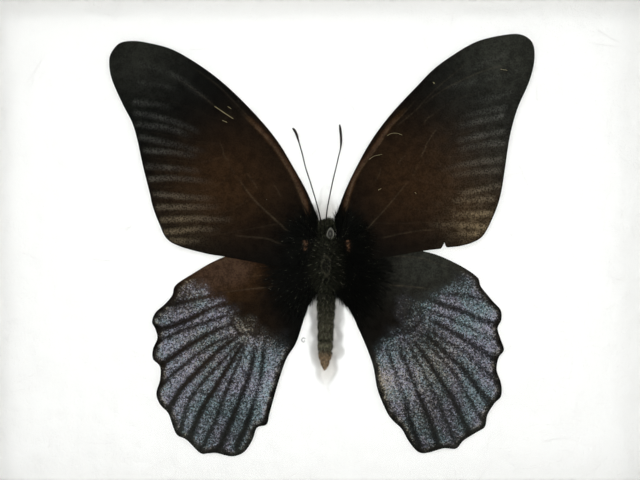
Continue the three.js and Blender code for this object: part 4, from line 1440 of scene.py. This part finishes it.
class SPECIMEN_OT_bed(bpy.types.Operator):
    """Makes the bed of cotton wadding, with the hollow that the body lies in and its loose fibres"""
    bl_idname = "specimen.bed"
    bl_label = "Cotton bed"

    def execute(self, context):
        settings = context.scene.specimen_bed
        size = BED_HIGH - BED_LOW
        columns, rows = round(size.x / settings.cell), round(size.z / settings.cell)
        bpy.ops.object.select_all(action="DESELECT")
        bpy.ops.mesh.primitive_grid_add(
            x_subdivisions=columns, y_subdivisions=rows, size=1, rotation=(math.pi / 2, 0, 0),
            location=(0, BED_LOW.y, (BED_LOW.z + BED_HIGH.z) / 2),
        )
        bed = context.object
        bed.name = "cotton_wadding_bed"
        bed.scale = (size.x, size.z, 1)
        settle(bed)
        bpy.ops.object.mode_set(mode="EDIT")
        shape = bmesh.from_edit_mesh(bed.data)
        for face in shape.faces:
            middle = face.calc_center_median()
            across, up = middle.x / MM - GROOVE_ACROSS, (middle.z - PANE_MIDDLE.z) / MM
            face.select = abs(across) < FINE_REACH and FINE_UPS[0] < up < FINE_UPS[1]
        bmesh.update_edit_mesh(bed.data)
        bpy.ops.mesh.subdivide(number_cuts=2)
        bpy.ops.mesh.select_all(action="SELECT")
        bpy.ops.mesh.extrude_region_move(TRANSFORM_OT_translate={"value": (0, size.y, 0)})
        bpy.ops.mesh.select_all(action="SELECT")
        bpy.ops.mesh.normals_make_consistent(inside=False)
        bpy.ops.object.mode_set(mode="OBJECT")
        places = vertex_places(bed.data)
        flat = flat_places(places)
        face = places[:, 1] < BED_LOW.y + 0.001 * MM
        depth, painted_shade = hollow(flat)
        lump = 0.6 * ripples(flat, 17, 72) + 0.3 * ripples(flat, 6, 73) + 0.16 * ripples(flat, 2.4, 74)
        rim = np.minimum(PANE_WIDTH / 2 - np.abs(flat[:, 0]), PANE_HEIGHT / 2 - np.abs(flat[:, 1]))
        sink = depth * MM + settings.lumps * np.clip(0.9 + lump, 0, None) * ease(0, 6, rim)
        places[face, 1] += sink[face]
        move_vertices(bed.data, places)
        store(bed.data, "painted_shade", np.where(face, painted_shade, 0))
        materials = [cotton_wadding(settings), cotton_fibre("cotton_fibre", settings.white, settings.shade)]
        dress(bed, materials)
        smooth(bed, 60)

        roots, normals = scatter(bed, settings.fibres, 75, lambda _, facing: facing[:, 1] < -0.3)
        random = np.random.default_rng(76)
        turn = random.uniform(0, 2 * math.pi, len(roots))
        curl = turn + random.normal(0, 1.2, len(roots))
        aims = np.stack([np.cos(turn), random.uniform(-0.08, 0.02, len(roots)), np.sin(turn)], axis=1)
        bends = 0.6 * np.stack([np.cos(curl), random.uniform(0.0, 0.03, len(roots)), np.sin(curl)], axis=1)
        lengths = random.uniform(3, 9, len(roots)) * MM
        fibres = hair_mesh("bed_fibres", roots, aims, bends, lengths, 0.035 * MM, rings=5, material_index=1)
        strands = vertex_places(fibres.data)
        strands[:, 1] = np.clip(strands[:, 1], BED_LOW.y, BED_HIGH.y - 3 * MM)
        strands[:, 0] = np.clip(strands[:, 0], BED_LOW.x, BED_HIGH.x)
        strands[:, 2] = np.clip(strands[:, 2], BED_LOW.z, BED_HIGH.z)
        move_vertices(fibres.data, strands)
        dress(fibres, materials)
        join_pieces(bed, [fibres])
        hand_over(bed, "cotton_wadding", "cotton_bed")
        return {"FINISHED"}


class SPECIMEN_OT_fibres(bpy.types.Operator):
    """Lays the loose fibres and specks on the wings, and the dark hair on the cotton"""
    bl_idname = "specimen.fibres"
    bl_label = "Loose fibres"

    def execute(self, context):
        settings = context.scene.specimen_bed
        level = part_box("forewing_left")[0].y - 0.25 * MM
        strands = []
        for radius, route in FIBRES:
            run = spline(route, steps=5)
            places = np.array([standing(across, up, level) for across, up in run])
            strands.append(tube("fibre", places, np.full(len(places), radius * MM), sides=6))
        pale = join_pieces(strands[0], strands[1:])
        pale.name = "loose_fibres"
        dress(pale, [cotton_fibre("stray_fibre", settings.stray, settings.stray)])
        smooth(pale, 60)
        hand_over(pale, "cotton_wadding")
        run = spline(DARK_HAIR, steps=6)
        places = np.array([standing(across, up, BED_LOW.y - 0.05 * MM) for across, up in run])
        dark = tube("loose_hair", places, np.full(len(places), 0.08 * MM), sides=6)
        body = context.scene.specimen_body
        dress(dark, [fur("shed_hair", body.black, body.black, body.glint)])
        smooth(dark, 60)
        hand_over(dark, "body_fur")
        return {"FINISHED"}


def softened(node, name, material, edge, slot, turns=30):
    """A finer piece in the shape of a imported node, with its sharp edges softened."""
    piece = merged_copy(node, name)
    bpy.ops.object.mode_set(mode="EDIT")
    bpy.ops.mesh.select_all(action="SELECT")
    bpy.ops.mesh.dissolve_limited(angle_limit=math.radians(0.5))
    bpy.ops.object.mode_set(mode="OBJECT")
    apply_modifier(
        piece, "BEVEL", width=edge, segments=2, limit_method="ANGLE", angle_limit=math.radians(turns),
        use_clamp_overlap=True,
    )
    dress(piece, [material])
    smooth(piece, 32)
    hand_over(piece, slot, node)
    return piece


class SPECIMEN_OT_rails(bpy.types.Operator):
    """Makes the four mitred rails of the frame"""
    bl_idname = "specimen.rails"
    bl_label = "Rails"

    def execute(self, context):
        settings = context.scene.specimen_case
        level = stained_wood(settings, "stained_wood_level", upright=False)
        upright = stained_wood(settings, "stained_wood_upright", upright=True)
        for name, material in (("top", level), ("bottom", level), ("left", upright), ("right", upright)):
            softened("rail_" + name, "moulding_" + name, material, settings.edge, "stained_wood")
        return {"FINISHED"}


class SPECIMEN_OT_glazing(bpy.types.Operator):
    """Finishes the pane, the card spacers and the backing board"""
    bl_idname = "specimen.glazing"
    bl_label = "Glazing and backing"

    def execute(self, context):
        settings = context.scene.specimen_case
        dress(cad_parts["glass_pane"], [picture_glass(settings)])
        card = white_card(settings)
        for name in ("top", "bottom", "left", "right"):
            softened("spacer_" + name, "card_strip_" + name, card, 0.15 * MM, "white_card")
        softened("backing_board", "hardboard_back", hardboard(settings), 0.25 * MM, "hardboard")
        return {"FINISHED"}


class SPECIMEN_OT_hardware(bpy.types.Operator):
    """Makes the framer's points, the sawtooth hanger and its nails"""
    bl_idname = "specimen.hardware"
    bl_label = "Hardware"

    def execute(self, context):
        settings = context.scene.specimen_case
        steel = plated_metal("zinc_plated_steel", settings.zinc, 0.5)
        brass = plated_metal("brass_plated_steel", settings.brass, 0.6)
        for node in sorted(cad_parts):
            if node.startswith("point_"):
                softened(node, "pressed_" + node, steel, 0.08 * MM, "steel")
        softened("sawtooth_hanger", "hanger_plate", brass, 0.1 * MM, "brass_plate")
        for side in ("left", "right"):
            softened("nail_" + side, "round_nail_" + side, steel, 0.08 * MM, "steel", turns=50)
        return {"FINISHED"}


def area_lamp(name, place, aim, size, power):
    """A soft lamp that faces a place."""
    bpy.ops.object.light_add(type="AREA", location=place)
    lamp = bpy.context.object
    lamp.name = name
    lamp.data.shape = "DISK"
    lamp.data.size = size
    lamp.data.energy = power
    lamp.rotation_euler = (Vector(aim) - Vector(place)).to_track_quat("-Z", "Y").to_euler()
    return lamp


class SPECIMEN_OT_stage(bpy.types.Operator):
    """Makes the floor, the soft lamps, the room's light and the camera"""
    bl_idname = "specimen.stage"
    bl_label = "Stage"

    def execute(self, context):
        settings = context.scene.specimen_stage
        bpy.ops.object.select_all(action="DESELECT")
        bpy.ops.mesh.primitive_circle_add(
            vertices=96, radius=6, fill_type="NGON", location=(0, 0, CAD_BOX[0].z)
        )
        floor = context.object
        floor.name = "floor"
        dress(floor, [pale_floor(settings)])
        floor.visible_glossy = False
        floor.visible_transmission = False
        target = (0, 0, PANE_MIDDLE.z)
        # This lamp is close behind the camera. No view shows it, and it would burn a spot into the floor
        front = area_lamp("front_lamp", (0, -0.42, PANE_MIDDLE.z), target, 0.08, settings.front)
        front.visible_camera = False
        front.visible_glossy = False
        front.visible_transmission = False
        spared = bpy.data.collections.new("spared_by_the_front_lamp")
        spared.objects.link(floor)
        spared.collection_objects[0].light_linking.link_state = "EXCLUDE"
        front.light_linking.receiver_collection = spared
        area_lamp("key_lamp", (-0.5, -0.85, 0.64), target, 0.5, settings.key)
        area_lamp("side_fill", (0.8, -0.7, 0.45), target, 0.5, settings.fill)
        area_lamp("back_fill", (0.3, 0.9, 0.8), target, 0.6, settings.back)

        world = bpy.data.worlds.new("room")
        context.scene.world = world
        world.use_nodes = True
        tree = world.node_tree
        tree.nodes.clear()
        # What mirrors the front half of the room sees black cloth there, so that the pane stays clear
        path = add_node(tree, "ShaderNodeLightPath")
        mirrored = worked(tree, "MAXIMUM", path.outputs["Is Glossy Ray"], path.outputs["Is Transmission Ray"])
        way = add_node(tree, "ShaderNodeTexCoord").outputs["Generated"]
        depth = add_node(tree, "ShaderNodeSeparateXYZ", {"Vector": way}).outputs["Y"]
        cloth = worked(tree, "MULTIPLY", mirrored, ranged(tree, depth, -0.15, 0.15, 1.0, 0.0))
        light = ranged(tree, cloth, 0.0, 1.0, settings.room, settings.room * 0.02)
        seen = path.outputs["Is Camera Ray"]
        light = worked(tree, "MAXIMUM", light, worked(tree, "MULTIPLY", seen, settings.backdrop))
        background = add_node(tree, "ShaderNodeBackground", {"Color": (1, 1, 1, 1), "Strength": light})
        add_node(tree, "ShaderNodeOutputWorld", {"Surface": background.outputs[0]})

        specimen_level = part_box("forewing_left")[0].y
        bpy.ops.object.camera_add(
            location=(0, specimen_level - settings.distance, PANE_MIDDLE.z), rotation=(math.pi / 2, 0, 0)
        )
        camera = context.object
        camera.data.sensor_width = 36
        camera.data.lens = camera.data.sensor_width * settings.distance / settings.view_width
        camera.data.clip_start = 0.01
        context.scene.camera = camera
        context.scene.view_settings.view_transform = "Standard"
        return {"FINISHED"}


class SPECIMEN_PT_pieces(bpy.types.Panel):
    """Lists the pieces in the sidebar."""
    bl_label = "Framed specimen"
    bl_idname = "SPECIMEN_PT_pieces"
    bl_space_type = "VIEW_3D"
    bl_region_type = "UI"
    bl_category = "Specimen"

    def draw(self, context):
        for operator in OPERATORS:
            self.layout.operator(operator.bl_idname)
        for name in SETTINGS:
            group = getattr(context.scene, name)
            self.layout.label(text=name.split("_")[1].capitalize())
            for value in group.bl_rna.properties:
                if value.identifier not in ("rna_type", "name"):
                    self.layout.prop(group, value.identifier)


SETTINGS = {
    "specimen_wings": WingSettings,
    "specimen_body": BodySettings,
    "specimen_bed": BedSettings,
    "specimen_case": CaseSettings,
    "specimen_stage": StageSettings,
}
OPERATORS = (
    SPECIMEN_OT_wings,
    SPECIMEN_OT_body,
    SPECIMEN_OT_antennae,
    SPECIMEN_OT_bed,
    SPECIMEN_OT_fibres,
    SPECIMEN_OT_rails,
    SPECIMEN_OT_glazing,
    SPECIMEN_OT_hardware,
    SPECIMEN_OT_stage,
)


def register():
    """Registers the settings, the operators and the panel."""
    for kind in (*SETTINGS.values(), *OPERATORS, SPECIMEN_PT_pieces):
        bpy.utils.register_class(kind)
    for name, kind in SETTINGS.items():
        setattr(bpy.types.Scene, name, PointerProperty(type=kind))


def unregister():
    """Takes the settings, the operators and the panel out again."""
    for name in SETTINGS:
        delattr(bpy.types.Scene, name)
    for kind in reversed((*SETTINGS.values(), *OPERATORS, SPECIMEN_PT_pieces)):
        bpy.utils.unregister_class(kind)


def main():
    """Makes every piece in order."""
    register()
    bpy.ops.specimen.stage()
    bpy.ops.specimen.rails()
    bpy.ops.specimen.glazing()
    bpy.ops.specimen.hardware()
    bpy.ops.specimen.bed()
    bpy.ops.specimen.wings()
    bpy.ops.specimen.body()
    bpy.ops.specimen.antennae()
    bpy.ops.specimen.fibres()


if __name__ == "__main__":
    main()
